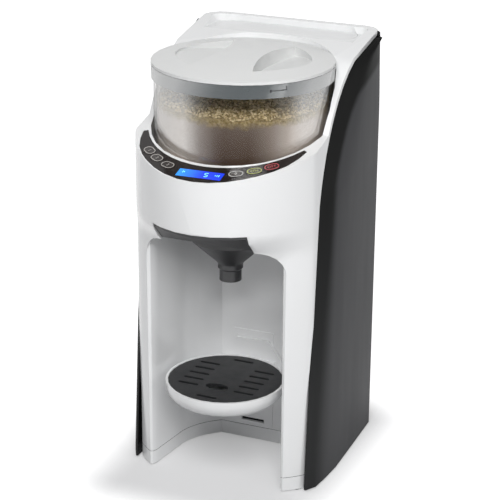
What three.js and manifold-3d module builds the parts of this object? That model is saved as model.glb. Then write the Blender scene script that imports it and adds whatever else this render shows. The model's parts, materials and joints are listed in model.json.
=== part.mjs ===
// A countertop baby formula maker: a white moulded body with a bottle bay, a clear powder hopper
// on top, a rear water tank, and the drive, pump and heater that mix a bottle of formula.
// Millimetres, +Z up. The front faces -Y, and the origin is under the middle of the whole machine.

import * as THREE from 'three';
import { mergeVertices } from 'three/addons/utils/BufferGeometryUtils.js';
import Module from 'manifold-3d';

const wasm = await Module();
wasm.setup();

// Overall size
const bodyHeight = 386;
const bodyDepth = 230;
const bodyWidth = 186;
const panelBulge = 8.6;

// Fits shared by all pieces
const seatGap = 0.3;
const runGap = 0.6;
const slideGap = 0.5;
const cutOver = 5;
const wall = 2.4;

// Curved front of the housing, in plan: a bulging nose that slims down to the two legs
const noseDepth = 69;
const legNoseDepth = 40.6;
const archNoseDepth = 43;
const noseRoundShare = 1.6;
const chinBlendLow = 8;
const chinBlendHigh = 1;

// Edge of the side panels, seen from the side, as shares of body depth and body height
const edgeFootShare = [0.252, 0];
const edgeKneeShare = [0.339, 0.679];
const edgeKneePullShare = [0.372, 0.781];
const edgeShoulderPullShare = [0.476, 0.912];
const edgeShoulderShare = [0.678, 0.961];
const edgeLowBowShare = 0.004;

// Side panels
const panelSkin = 1.9;
const panelSole = 2.4;
const panelRise = 1.8;
const panelCornerRadius = 17.3;
const panelRearReturn = 5;
const panelTail = 4;
const panelSeam = 0.45;
const bevelFoot = 10;
const bevelShoulder = 30;
const bevelRiseShare = 0.65;
const bulgeEndShare = 0.55;
const bulgeTopShare = 0.7;
const bulgeTopStartShare = 0.8;
const bulgeCrownShare = 0.3;
const bevelGrowStartShare = 0.6;
const bevelGrowRunShare = 0.15;
const bevelRings = [0, 0.5, 1];
const flankRings = [0.12, 0.3, 0.62, 1];

// Top of the housing: shoulders and rear deck
const shoulderForward = 2.5;
const shoulderLift = 4;
const rearDrop = 1.2;
const deckRim = 6.5;
const deckRimSlope = 4;
const deckDrop = 5.6;
const deckFloorWall = 3;
const deckFrontLead = 9.4;

// Powder hopper and its recess
const hopperSetbackShare = 0.4683;
const hopperMargin = 6.9;
const hopperDepthShare = 0.345;
const hopperWall = 2.2;
const hopperHeight = 88;
const hopperFillet = 20;
const hopperFloor = 2.6;
const recessPlay = 2.6;

// Lid of the hopper
const lidDrop = 4;
const lidDome = 6.3;
const lidEdge = 2.4;
const lidOverhang = 2.2;
const lidShell = 2;
const lidCollarDepth = 10;
const lidCollarWall = 2;
const lidRingHeight = 11.6;
const lidSealThick = 1.6;
const lidSealHeight = 3;
const gripEndShare = 0.364;
const gripMidShare = 0.251;
const scoopLengthShare = 0.602;
const scoopEdgeClear = 18.7;
const scoopFloorDrop = 13.5;
const scoopEdgeDrop = 2.6;

// Control panel: a glossy crescent on the sloping brow in front of the hopper
const browSlopeShare = 0.256;
const browDrop = 89.9;
const crescentStart = 2;
const crescentSetback = 1.2;
const crescentSideClear = 7.4;
const crescentEndAngle = 62;
const crescentThick = 2;
const crescentMargin = 1.1;
const reachTries = 18;
const keyLengthShare = 0.1705;
const keyWidth = 10;
const keyProud = 0.4;
const keyTravel = 0.8;
const keyStemRadius = 2.4;
const keyHeadDepth = 5.5;
const keyPlay = 0.35;
const keyAngles = [-38.9, -29.4, -19.4, 19.8, 29.4, 38.9];
const displayLengthShare = 0.487;
const displayWidth = 10.6;
const displayShift = 2;
const displayDepth = 6;
const boardThick = 1.6;
const boardDrop = 10;
const boardInset = 5;
const boardAngle = 52;
const boardPostRadius = 2.6;
const boardPostAngles = [-47, -24.2, 24.8, 47];

// Bottle bay
const legWidth = 23.9;
const bayDepthShare = 0.5913;
const bayTopDrop = 156;
const bayArchRadius = 25;
const bayMouthFlare = 6;
const bayFlareLead = 20;
const bayFlareDepth = 13;
const bayTaper = 4.2;
const bayCurveDepth = 36.5;
const bayCurvePull = [8.5, 15.3];
const bayBackInset = 28.5;
const bayCurveSteps = 6;
const chinLift = 19.5;
const notchMargin = 17;
const notchRearClear = 1.6;
const ceilingThick = 2.5;
const stripHalf = 20;
const stripProud = 0.8;
const stripFoot = 15.5;
const stripHead = 112;

// Funnel unit, which slides out at the front
const doseReach = 25.7;
const chinClear = 0.2;
const coverPlay = 0.6;
const coverWall = 2.4;
const coverTop = 2.4;
const coverSkirt = 17.4;
const coverBevelShare = 1;
const coverFrontSetback = 3.2;
const coverTail = 39.4;
const funnelSideClear = 7.5;
const funnelRimHeight = 36;
const funnelConeDrop = 11;
const funnelNeckRadius = 12.5;
const funnelNeckLength = 10;
const funnelStep = 1.6;
const funnelSill = 6;
const funnelSpoutRadius = 10.3;
const funnelSpoutLength = 17;
const funnelWall = 1.8;
const funnelMouthStep = 3.5;
const railWidth = 3.6;
const railSetback = 10;
const railHeight = 2.6;

// Drip tray and grate
const traySetbackShare = 0.3113;
const trayTop = 90.2;
const trayMargin = 6.5;
const trayRearClear = 10.4;
const trayHeight = 16.4;
const trayCurve = 11;
const trayWall = 2.2;
const trayRimDrop = 4.4;
const trayArmHalf = 24;
const trayUpstandHeight = 31;
const trayUpstandHalf = 16;
const trayUpstandFootHalf = 30;
const trayUpstandThick = 2.8;
const tabHalf = 11;
const tabThick = 2.6;
const tabReach = 5;
const slotPlay = 0.4;
const slotLow = 21;
const slotPitch = 28.6;
const slotCount = 3;
const grateThick = 2.6;
const grateSink = 0.5;
const grateLedge = 2;
const grateSlotShare = 0.37;
const grateSlotWidth = 3.4;
const grateColumnShare = 0.496;
const grateRowShare = 0.22;
const grateRowShift = 2;
const grateRowsEachWay = 2;
const grateEndShare = 0.769;
const grateDipLengthShare = 0.407;
const grateDipWidthShare = 0.222;
const grateDipShiftShare = 0.344;

// Powder dosing train
const rotorRadius = 39;
const rotorThick = 8;
const pocketRadius = 8;
const pocketCount = 6;
const outletRadius = 8.2;
const floorLift = 0.4;
const scraperThick = 2;
const scraperSpan = 44;
const scraperHalf = 12;
const scraperPost = 6;
const stirHubRadius = 8;
const stirHubHeight = 26;
const stirArmWidth = 6;
const stirArmThick = 3;
const stirClear = 13.5;
const stirFinHeight = 20;
const stirArmCount = 4;
const dogSide = 8;
const dogPlay = 0.4;
const dogReach = 5.5;
const shaftRadius = 5.7;
const bearingWall = 2.6;
const bearingFlange = 2.4;
const bearingLip = 1.6;
const gearModule = 1.3;
const driveTeeth = 20;
const idlerTeeth = 22;
const pinionTeeth = 12;
const gearThick = 8;
const gearDrop = 24.2;
const addendumShare = 0.85;
const dedendumShare = 1.25;
const toothTipShare = 0.1;
const toothRootShare = 0.26;
const idlerPinRadius = 2.5;
const plateThick = 2.5;
const plateHalf = 19;
const plateFront = 10.5;
const plateBossRadius = 8;
const plateBossHeight = 3;
const motorRadius = 15.5;
const motorHeight = 52;
const motorShaftRadius = 2.2;
const motorCollarRadius = 6;
const motorCollarHeight = 1.8;
const motorPilotRadius = 9;
const chuteOuterRadius = 10;
const chuteFlange = 2;

// Base, feet and screws
const footHeight = 1.2;
const footRadius = 8;
const footThick = 2.4;
const baseTop = 13.9;
const baseFloor = 4;
const baseWall = 2.6;
const partingGap = 0.4;
const screwHeadRadius = 3.4;
const screwHeadHeight = 2.2;
const screwShankRadius = 1.8;
const screwLength = 30;
const bossRadius = 4.6;
const bossHeight = 26;
const legScrewInset = 12.9;
const frontScrewSetback = 84;
const rearScrewLead = 54;
const frontFootSetback = 66;
const rearFootLead = 24;
const footInset = 13.4;

// Water tank, dock and rear cover
const tankSideClear = 17.4;
const tankFrontClear = 3.2;
const tankRearClear = 6.4;
const tankCornerRadius = 15;
const tankFrontRadius = 6;
const tankWall = 2.2;
const tankLidThick = 2.4;
const tankLidLip = 2;
const tankLidPlug = 4;
const dockHeight = 27;
const dockSideClear = 26.4;
const portRadius = 8;
const portInset = 63;
const portWall = 2;
const spigotLength = 9;
const sealThick = 2.2;
const filterHeight = 16;
const rearWindowInset = 17;
const rearWindowLow = 66;
const rearWindowDrop = 40;
const rearFoot = 2.5;

// Works behind the bay
const chassisThick = 2.5;
const chassisLead = 7.4;
const chassisSideClear = 18.4;
const chassisHeadroom = 2.2;
const chassisFoot = 16;
const chassisGateTop = 48;
const pumpRadius = 14;
const pumpLength = 46;
const pumpHeadLength = 16;
const pumpHeadHalf = 16;
const pumpInset = 41;
const pumpLead = 23;
const pumpSaddle = 4;
const heaterRadius = 15;
const heaterHeightShare = 0.2228;
const heaterLowShare = 0.29;
const heaterInset = 55;
const heaterCap = 4;
const hoseRadius = 4;
const nippleLength = 6;
const nozzleRadius = 5;
const nozzleShare = -0.667;
const nozzleShift = 7;
const nozzleDrop = 4.5;
const nozzleBore = 2;
const nozzleFlange = 7.5;
const boardSideClear = 6;
const boardHeight = 92;
const boardLow = 64;
const boardLeft = 8;
const boardPartDepth = 7;
const boardPartShares = [[0.12, 0.1, 0.4, 0.32], [0.55, 0.16, 0.85, 0.36], [0.15, 0.55, 0.5, 0.9]];
const inletWidth = 27;
const inletHeight = 16;
const inletDepth = 16;
const inletInset = 46.4;
const inletLow = 15;
const inletWall = 2.2;
const inletPinWidth = 4;
const inletPinThick = 2;

// Steps of the curves
const noseSteps = 16;
const cornerSteps = 3;
const edgeSteps = 9;
const roundSteps = 32;
const arcSteps = 3;
const smallSteps = 10;
const hoseSides = 6;
const funnelSteps = 24;
const slotSteps = 3;
const scoopSteps = 8;

// Places worked out from the sizes above
const noseY = -bodyDepth / 2;
const rearY = bodyDepth / 2;
const halfFront = bodyWidth / 2 - panelBulge;
const coreInset = panelSkin + seatGap;
const coreHalf = halfFront - coreInset;
const coreRearY = rearY - coreInset;
const coreCorner = panelCornerRadius - coreInset;
const cornerX = halfFront - panelCornerRadius;
const cornerY = rearY - panelCornerRadius;
const flankY = noseY + noseDepth;
const hopperY = noseY + bodyDepth * hopperSetbackShare;
const hopperRadius = Math.min(halfFront - hopperMargin, bodyDepth * hopperDepthShare);
const lidRadius = hopperRadius + lidOverhang;
const recessRadius = hopperRadius + recessPlay;
const lidTopZ = bodyHeight - lidDrop;
const lidRimZ = lidTopZ - lidDome;
const hopperTopZ = lidRimZ - lidEdge - seatGap;
const hopperLowZ = hopperTopZ - hopperHeight;
const recessFloorZ = hopperLowZ - seatGap;
const cupLowZ = recessFloorZ - wall;
const browZ = bodyHeight - browDrop;
const crescentInner = recessRadius + crescentStart;
const crescentRadius = halfFront - crescentSideClear;
const crescentY = noseY + crescentSetback + crescentRadius;
const keyLength = crescentInner * keyLengthShare;
const displayLength = crescentInner * displayLengthShare;
const scoopReach = lidRadius - scoopEdgeClear;
const scoopHalfLength = lidRadius * scoopLengthShare;
const gripEndHalf = lidRadius * gripEndShare;
const gripMidHalf = lidRadius * gripMidShare;
const bayTopZ = bodyHeight - bayTopDrop;
const chinZ = bayTopZ + chinLift;
const ceilingZ = chinZ + ceilingThick;
const bayHalf = halfFront - legWidth;
const bayDepth = bodyDepth * bayDepthShare;
const bayBackY = noseY + bayDepth;
const bayBackHalf = bayHalf - bayBackInset;
const spoutY = hopperY - doseReach;
const notchHalf = bayHalf - notchMargin;
const notchBackY = spoutY + coverTail + notchRearClear;
const traySetback = bodyDepth * traySetbackShare;
const trayY = noseY + traySetback;
const chinRadius = traySetback - chinClear;
const trayRadius = Math.min(bayHalf - trayMargin, bayDepth - traySetback - trayRearClear);
const trayFootRadius = trayRadius - trayCurve;
const trayLowZ = trayTop - trayHeight;
const funnelRimRadius = notchHalf - funnelSideClear;
const funnelMouthRadius = funnelRimRadius - funnelMouthStep;
const housingLowZ = baseTop + partingGap;
const legScrewX = halfFront - legScrewInset;
const footX = halfFront - footInset;
const gearLowZ = recessFloorZ - gearDrop - gearThick / 2;
const driveRadius = gearModule * driveTeeth / 2;
const idlerRadius = gearModule * idlerTeeth / 2;
const pinionRadius = gearModule * pinionTeeth / 2;
const idlerY = hopperY + driveRadius + idlerRadius;
const motorY = idlerY + idlerRadius + pinionRadius;
const plateLowZ = ceilingZ + seatGap;
const plateTopZ = plateLowZ + plateThick;
const rotorLowZ = hopperLowZ + hopperFloor + floorLift;
const rotorTopZ = rotorLowZ + rotorThick;
const stirReach = hopperRadius - stirClear;
const tankFrontY = hopperY + recessRadius + wall + tankFrontClear;
const tankRearY = coreRearY - wall - tankRearClear + tankFrontClear;
const tankHalf = halfFront - tankSideClear;
const dockHalf = halfFront - dockSideClear;
const rearWindowHalf = tankHalf - rearWindowInset;
const deckFloorZ = bodyHeight - deckDrop;
const deckFrontY = tankFrontY - deckFrontLead;
const floorTopZ = footHeight + baseFloor;
const dockTopZ = floorTopZ + seatGap + dockHeight;
const tankLowZ = dockTopZ + seatGap;
const tankTopZ = deckFloorZ - tankLidThick - seatGap;
const chassisY = tankFrontY - chassisLead;
const chassisHalf = halfFront - chassisSideClear;
const chassisGateHalf = chassisHalf - chassisFoot;
const chassisTop = ceilingZ - chassisHeadroom;
const heaterY = chassisY - seatGap - heaterRadius;
const heaterLow = bodyHeight * heaterLowShare;
const heaterHeight = bodyHeight * heaterHeightShare;
const portX = portInset - bodyWidth / 2;
const pumpX = pumpInset - bodyWidth / 2;
const heaterX = heaterInset - bodyWidth / 2;
const pumpY = chassisY - pumpLead;
const pumpZ = floorTopZ + seatGap + pumpSaddle + pumpRadius;
const boardZ = browZ - boardDrop;
const boardWidth = chassisHalf - boardLeft - boardSideClear;
const inletX = halfFront - inletInset;
const nozzleX = funnelRimRadius * nozzleShare;
const nozzleY = spoutY + nozzleShift;
const trayBackY = bayBackY - stripProud - slideGap;

// Finishes
const finish = (color, roughness, metalness = 0) =>
  new THREE.MeshStandardMaterial({ color, roughness, metalness });
const looks = {
  white: () => finish(0xf2f3f3, 0.22),
  lidWhite: () => finish(0xdcdcda, 0.45),
  charcoal: () => finish(0x4b4b4c, 0.42),
  gloss: () => finish(0x140f0d, 0.08),
  smoke: () => finish(0x3c3f44, 0.15),
  clear: () => finish(0xe9e6e2, 0.06),
  ringBlue: () => finish(0x8f9ea6, 0.2),
  funnelGrey: () => finish(0x3c3c3e, 0.5),
  grate: () => finish(0x1f2123, 0.6),
  rubber: () => finish(0x202020, 0.9),
  seal: () => finish(0xc9cbc8, 0.8),
  nylon: () => finish(0xe4e0d2, 0.5),
  steel: () => finish(0xb9bcc0, 0.35, 0.9),
  board: () => finish(0x1d5a3a, 0.55),
  screen: () => finish(0x1436e8, 0.12),
  keyGrey: () => finish(0x1a1513, 0.3),
};

// Making solids
function signedVolume(position, index) {
  const a = new THREE.Vector3();
  const b = new THREE.Vector3();
  const c = new THREE.Vector3();
  let sum = 0;
  for (let i = 0; i < index.length; i += 3) {
    a.fromBufferAttribute(position, index[i]);
    b.fromBufferAttribute(position, index[i + 1]);
    c.fromBufferAttribute(position, index[i + 2]);
    sum += a.dot(b.cross(c));
  }
  return sum / 6;
}

function solidOf(geometry) {
  const bare = geometry.clone();
  bare.deleteAttribute('normal');
  bare.deleteAttribute('uv');
  const merged = mergeVertices(bare);
  const index = Array.from(merged.index.array);
  const kept = [];
  for (let i = 0; i < index.length; i += 3) {
    const [a, b, c] = [index[i], index[i + 1], index[i + 2]];
    if (a !== b && b !== c && c !== a) kept.push(a, b, c);
  }
  if (signedVolume(merged.attributes.position, kept) < 0) kept.reverse();
  return new wasm.Manifold(new wasm.Mesh({
    numProp: 3,
    vertProperties: new Float32Array(merged.attributes.position.array),
    triVerts: new Uint32Array(kept),
  }));
}

function geometryOf(solid) {
  const mesh = solid.getMesh();
  const geometry = new THREE.BufferGeometry();
  geometry.setAttribute('position', new THREE.BufferAttribute(mesh.vertProperties, 3));
  geometry.setIndex(new THREE.BufferAttribute(mesh.triVerts, 1));
  geometry.computeVertexNormals();
  return geometry;
}

function joined(solids) {
  return solids.reduce((sum, solid) => sum.add(solid));
}

function plate(shape, low, high) {
  const geometry = new THREE.ExtrudeGeometry(shape, {
    depth: high - low, bevelEnabled: false, curveSegments: arcSteps,
  });
  geometry.translate(0, 0, low);
  return solidOf(geometry);
}

// A shape drawn in (y, z), run along X
function acrossX(shape, left, right) {
  const geometry = new THREE.ExtrudeGeometry(shape, {
    depth: right - left, bevelEnabled: false, curveSegments: arcSteps,
  });
  const turn = new THREE.Matrix4().makeBasis(
    new THREE.Vector3(0, 1, 0), new THREE.Vector3(0, 0, 1), new THREE.Vector3(1, 0, 0));
  geometry.applyMatrix4(turn);
  geometry.translate(left, 0, 0);
  return solidOf(geometry);
}

// A shape drawn in (x, z), run along Y
function alongY(shape, front, back) {
  const geometry = new THREE.ExtrudeGeometry(shape, {
    depth: back - front, bevelEnabled: false, curveSegments: arcSteps,
  });
  geometry.rotateX(Math.PI / 2);
  geometry.translate(0, back, 0);
  return solidOf(geometry);
}

function block(x0, x1, y0, y1, z0, z1) {
  const geometry = new THREE.BoxGeometry(x1 - x0, y1 - y0, z1 - z0);
  geometry.translate((x0 + x1) / 2, (y0 + y1) / 2, (z0 + z1) / 2);
  return solidOf(geometry);
}

function rod(radius, low, high, x = 0, y = 0, sides = smallSteps) {
  const geometry = new THREE.CylinderGeometry(radius, radius, high - low, sides);
  geometry.rotateX(Math.PI / 2);
  geometry.translate(x, y, (low + high) / 2);
  return solidOf(geometry);
}

function rodAcross(radius, left, right, y, z, sides = smallSteps) {
  const geometry = new THREE.CylinderGeometry(radius, radius, right - left, sides);
  geometry.rotateZ(Math.PI / 2);
  geometry.translate((left + right) / 2, y, z);
  return solidOf(geometry);
}

function rodDeep(radius, front, back, x, z, sides = smallSteps) {
  const geometry = new THREE.CylinderGeometry(radius, radius, back - front, sides);
  geometry.translate(x, (front + back) / 2, z);
  return solidOf(geometry);
}

// A profile of [radius, height] points turned about an upright axis
function turned(profile, x = 0, y = 0, sides = roundSteps) {
  const points = profile.map(([radius, height]) => new THREE.Vector2(radius, height));
  const geometry = new THREE.LatheGeometry(points, sides);
  geometry.rotateX(Math.PI / 2);
  geometry.translate(x, y, 0);
  return solidOf(geometry);
}

// A skin over closed rings of equal length, with a flat cap at each end
function loft(drawn) {
  const flat = (ring) => ring.map((point) => new THREE.Vector2(point.x, point.y));
  const clockwise = THREE.ShapeUtils.area(flat(drawn[0])) < 0;
  const rings = clockwise ? drawn.map((ring) => [...ring].reverse()) : drawn;
  const count = rings[0].length;
  const vertices = rings.flat();
  const index = [];
  for (let r = 0; r + 1 < rings.length; r += 1) {
    for (let i = 0; i < count; i += 1) {
      const a = r * count + i;
      const b = r * count + (i + 1) % count;
      index.push(a, b, b + count, a, b + count, a + count);
    }
  }
  const top = (rings.length - 1) * count;
  for (const [a, b, c] of THREE.ShapeUtils.triangulateShape(flat(rings[0]), [])) {
    index.push(c, b, a);
  }
  for (const [a, b, c] of THREE.ShapeUtils.triangulateShape(flat(rings.at(-1)), [])) {
    index.push(top + a, top + b, top + c);
  }
  const geometry = new THREE.BufferGeometry().setFromPoints(vertices);
  geometry.setIndex(index);
  return solidOf(geometry);
}

function polygon(points) {
  return new THREE.Shape(points.map(([u, v]) => new THREE.Vector2(u, v)));
}

function roundedBox(x0, x1, y0, y1, radius) {
  const shape = new THREE.Shape();
  shape.moveTo(x0 + radius, y0);
  shape.lineTo(x1 - radius, y0);
  shape.absarc(x1 - radius, y0 + radius, radius, -Math.PI / 2, 0);
  shape.lineTo(x1, y1 - radius);
  shape.absarc(x1 - radius, y1 - radius, radius, 0, Math.PI / 2);
  shape.lineTo(x0 + radius, y1);
  shape.absarc(x0 + radius, y1 - radius, radius, Math.PI / 2, Math.PI);
  shape.lineTo(x0, y0 + radius);
  shape.absarc(x0 + radius, y0 + radius, radius, Math.PI, 1.5 * Math.PI);
  return shape;
}

function oval(length, width, steps = smallSteps) {
  const points = [];
  for (let i = 0; i < steps; i += 1) {
    const angle = i / steps * 2 * Math.PI;
    points.push([length / 2 * Math.cos(angle), width / 2 * Math.sin(angle)]);
  }
  return points;
}

function capsule(length, width) {
  const points = [];
  const radius = width / 2;
  for (const side of [1, -1]) {
    for (let i = 0; i <= slotSteps; i += 1) {
      const angle = (i / slotSteps - 0.5) * Math.PI;
      points.push([side * (length / 2 - radius + radius * Math.cos(angle)),
        side * radius * Math.sin(angle)]);
    }
  }
  return points;
}

function placed(points, angle, x, y) {
  return points.map(([u, v]) => [
    x + u * Math.cos(angle) - v * Math.sin(angle),
    y + u * Math.sin(angle) + v * Math.cos(angle),
  ]);
}

function tube(points, radius) {
  const path = new THREE.CatmullRomCurve3(points.map((p) => new THREE.Vector3(...p)));
  const section = polygon(oval(2 * radius, 2 * radius, hoseSides));
  const steps = Math.round(path.getLength() / (4 * radius));
  const geometry = new THREE.ExtrudeGeometry(section, { steps, extrudePath: path });
  return solidOf(geometry);
}

const degrees = (angle) => angle * Math.PI / 180;
const ease = (t) => {
  const share = Math.min(Math.max(t, 0), 1);
  return share * share * (3 - 2 * share);
};

// Outline of the body in plan, at one depth of nose; inset moves it inwards all round
function bodyRing(depth, half, corner, rear, inset, z) {
  const points = [];
  const cornerCentreX = half - corner;
  const cornerCentreY = rear - corner;
  for (let i = 0; i <= noseSteps; i += 1) {
    const angle = (i / noseSteps - 0.5) * Math.PI;
    const reach = Math.max(Math.cos(angle), 0) ** noseRoundShare;
    points.push(new THREE.Vector3(
      (half - inset) * Math.sin(angle), flankY - (depth - inset) * reach, z));
  }
  for (const side of [1, -1]) {
    for (let i = 0; i <= cornerSteps; i += 1) {
      const share = side > 0 ? i / cornerSteps : 1 - i / cornerSteps;
      const angle = share * Math.PI / 2;
      points.push(new THREE.Vector3(
        side * (cornerCentreX + (corner - inset) * Math.cos(angle)),
        cornerCentreY + (corner - inset) * Math.sin(angle), z));
    }
  }
  return points;
}

// The nose grows from the legs through the arch to the overhanging chin
function noseAt(z) {
  const low = bayTopZ - chinBlendLow;
  const high = chinZ + chinBlendHigh;
  const leg = legNoseDepth + (archNoseDepth - legNoseDepth) * Math.min(z / bayTopZ, 1);
  return leg + (noseDepth - leg) * ease((z - low) / (high - low));
}

function noseLevels(low, high) {
  const blendLow = bayTopZ - chinBlendLow;
  const blendHigh = chinZ + chinBlendHigh;
  const blend = [];
  for (let i = 0; i <= arcSteps; i += 1) {
    blend.push(blendLow + (blendHigh - blendLow) * i / arcSteps);
  }
  return [low, ...blend.filter((z) => z > low && z < high), high];
}

function bodyLoft(low, high, inset) {
  return loft(noseLevels(low, high).map((z) =>
    bodyRing(noseAt(z), halfFront, panelCornerRadius, rearY, inset, z)));
}

// The core lies inside the side panels
function corePrism(low, high, inset) {
  const ring = (z) => bodyRing(noseDepth, coreHalf, coreCorner, coreRearY, inset, z);
  return loft([ring(low), ring(high)]);
}

// Points of the panels' front edge in side view, from foot to back
function edgePoints(forward, lift) {
  const at = ([y, z]) => new THREE.Vector2(
    noseY + bodyDepth * y - forward, bodyHeight * z + lift);
  const foot = at(edgeFootShare);
  const knee = at(edgeKneeShare);
  const shoulder = at(edgeShoulderShare);
  const back = new THREE.Vector2(rearY - forward, bodyHeight - rearDrop + lift);
  const bow = new THREE.Vector2((foot.x + knee.x) / 2 - bodyDepth * edgeLowBowShare,
    (foot.y + knee.y) / 2);
  const low = new THREE.QuadraticBezierCurve(foot, bow, knee).getPoints(2);
  const bend = new THREE.CubicBezierCurve(
    knee, at(edgeKneePullShare), at(edgeShoulderPullShare), shoulder).getPoints(edgeSteps);
  return [...low, ...bend.slice(1), back];
}

// The side-view region behind the panels' edge
function behindEdge(forward, lift, left, right) {
  const line = edgePoints(forward, lift).map((p) => [p.x, p.y]);
  const back = rearY + cutOver;
  const outline = [[line[0][0], -cutOver], ...line, [back, line.at(-1)[1]], [back, -cutOver]];
  return acrossX(polygon(outline), left, right);
}

// The brow slopes forward from the shoulders to the nose
function browHeight(y) {
  return browZ + (y - noseY) * browSlopeShare;
}

function browSolid(lift) {
  const reach = bodyDepth;
  return acrossX(polygon([[-reach, -bodyHeight], [reach, -bodyHeight],
    [reach, browHeight(reach) + lift], [-reach, browHeight(-reach) + lift]]), -reach, reach);
}

// The region above the shoulders, and above the brow in front of the hopper
function aboveTop(lift, forward) {
  const line = edgePoints(shoulderForward + forward, shoulderLift + lift).map((p) => [p.x, p.y]);
  const sky = bodyHeight + 4 * cutOver;
  const front = noseY - cutOver;
  const back = rearY + cutOver;
  const outline = [[front, line[0][1]], ...line, [back, line.at(-1)[1]], [back, sky], [front, sky]];
  const region = acrossX(polygon(outline), -bodyWidth, bodyWidth);
  return region.subtract(browSolid(lift));
}

// The flanks behind the panels' edge step in to the core
function withoutPanelSpace(solid) {
  const space = behindEdge(panelSeam, panelSeam, -bodyWidth, bodyWidth);
  const core = corePrism(-2 * cutOver, bodyHeight + 2 * cutOver, 0);
  return solid.subtract(space.subtract(core));
}

// The bottle bay, in plan and from the front; grow gives the outside of its walls
function baySide(grow) {
  const straight = new THREE.Vector2(bayHalf - bayTaper + grow, bayBackY - bayCurveDepth);
  const pull = new THREE.Vector2(bayHalf - bayCurvePull[0] + grow, bayBackY - bayCurvePull[1] + grow);
  const back = new THREE.Vector2(bayBackHalf + grow, bayBackY + grow);
  const curve = new THREE.QuadraticBezierCurve(straight, pull, back).getPoints(bayCurveSteps);
  return curve.map((point) => [point.x, point.y]);
}

function bayPlan(grow) {
  const mouth = bayHalf + bayMouthFlare + grow;
  const flareY = flankY - bayFlareLead;
  const flareEnd = flareY + bayFlareDepth;
  const side = baySide(grow);
  const shape = new THREE.Shape();
  shape.moveTo(-mouth, noseY - cutOver);
  shape.lineTo(mouth, noseY - cutOver);
  shape.lineTo(mouth, flareY);
  shape.quadraticCurveTo(bayHalf + grow, flareY, bayHalf + grow, flareEnd);
  for (const [x, y] of side) shape.lineTo(x, y);
  for (const [x, y] of side.reverse()) shape.lineTo(-x, y);
  shape.lineTo(-bayHalf - grow, flareEnd);
  shape.quadraticCurveTo(-bayHalf - grow, flareY, -mouth, flareY);
  return shape;
}

function bayArch(grow) {
  const half = bayHalf + bayMouthFlare + grow;
  const top = bayTopZ + grow;
  const radius = bayArchRadius + grow;
  const shape = new THREE.Shape();
  shape.moveTo(-half, -cutOver);
  shape.lineTo(half, -cutOver);
  shape.lineTo(half, top - radius);
  shape.absarc(half - radius, top - radius, radius, 0, Math.PI / 2);
  shape.lineTo(-half + radius, top);
  shape.absarc(-half + radius, top - radius, radius, Math.PI / 2, Math.PI);
  return shape;
}

function bayVoid(grow) {
  const low = grow > 0 ? housingLowZ : -cutOver;
  const plan = plate(bayPlan(grow), low, bayTopZ + grow + cutOver);
  const arch = alongY(bayArch(grow), noseY - cutOver, bayBackY + grow + cutOver);
  return plan.intersect(arch);
}

function notchVoid(grow) {
  return block(-notchHalf - grow, notchHalf + grow, noseY - cutOver, notchBackY + grow,
    bayTopZ - bayArchRadius, chinZ + (grow > 0 ? ceilingThick : 0));
}

// Hopper recess: outside of its cup, and the space inside
function recessProfile(radius, low, fillet, top) {
  const points = [[0, low]];
  for (let i = 0; i <= arcSteps; i += 1) {
    const angle = (i / arcSteps - 1) * Math.PI / 2;
    points.push([radius - fillet + fillet * Math.cos(angle), low + fillet + fillet * Math.sin(angle)]);
  }
  points.push([radius, top], [0, top]);
  return points;
}

function recessSpace() {
  const fillet = hopperFillet + recessPlay - seatGap;
  return turned(
    recessProfile(recessRadius, recessFloorZ, fillet, bodyHeight + cutOver), 0, hopperY);
}

function recessCup() {
  const fillet = hopperFillet + recessPlay - seatGap + wall;
  return turned(recessProfile(recessRadius + wall, cupLowZ, fillet, bodyHeight), 0, hopperY);
}

// A place on the brow: angle from straight ahead, at a radius from the hopper's axis
function browPlace(angle, radius) {
  return [radius * Math.sin(degrees(angle)), hopperY - radius * Math.cos(degrees(angle))];
}

// How far the nose's rim lies from the hopper's axis at an angle, less a margin
function rimReach(angle, margin) {
  let near = crescentInner;
  let far = bodyDepth;
  for (let i = 0; i < reachTries; i += 1) {
    const middle = (near + far) / 2;
    const [x, y] = browPlace(angle, middle);
    const turn = Math.asin(Math.min(Math.abs(x) / (halfFront - margin), 1));
    const rim = flankY - (noseDepth - margin) * Math.cos(turn) ** noseRoundShare;
    if (Math.abs(x) < halfFront - margin && y > rim) near = middle;
    else far = middle;
  }
  return near;
}

function crescentOuter(angle, inset = 0) {
  const shift = hopperY - crescentY;
  const radius = crescentRadius - inset;
  const side = shift * Math.sin(degrees(angle));
  const arc = shift * Math.cos(degrees(angle)) + Math.sqrt(radius * radius - side * side);
  return Math.min(arc, rimReach(angle, crescentMargin + inset));
}

function browMiddle(angle) {
  return (crescentInner + crescentOuter(angle)) / 2;
}

// Plan of the crescent: the big arc in front, back along the hopper's circle
function crescentShape(trim) {
  const inner = crescentInner + trim;
  const end = crescentEndAngle - trim * 180 / Math.PI / inner;
  const steps = noseSteps;
  const points = [];
  for (let i = 0; i <= steps; i += 1) {
    const angle = end * (2 * i / steps - 1);
    points.push(browPlace(angle, crescentOuter(angle, trim)));
  }
  for (let i = steps; i >= 0; i -= 1) {
    const angle = end * (2 * i / steps - 1);
    points.push(browPlace(angle, inner));
  }
  return polygon(points);
}

function keyOutline(angle, grow) {
  const [x, y] = browPlace(angle, browMiddle(angle));
  return polygon(placed(oval(keyLength + 2 * grow, keyWidth + 2 * grow), degrees(angle), x, y));
}

function displayAngle() {
  return Math.atan2(displayShift, browMiddle(0)) * 180 / Math.PI;
}

function displayOutline(grow) {
  const angle = displayAngle();
  const [x, y] = browPlace(angle, browMiddle(angle));
  const half = displayLength / 2 + grow;
  const deep = displayWidth / 2 + grow;
  const corners = [[-half, -deep], [half, -deep], [half, deep], [-half, deep]];
  return polygon(placed(corners, degrees(angle), x, y));
}

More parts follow.
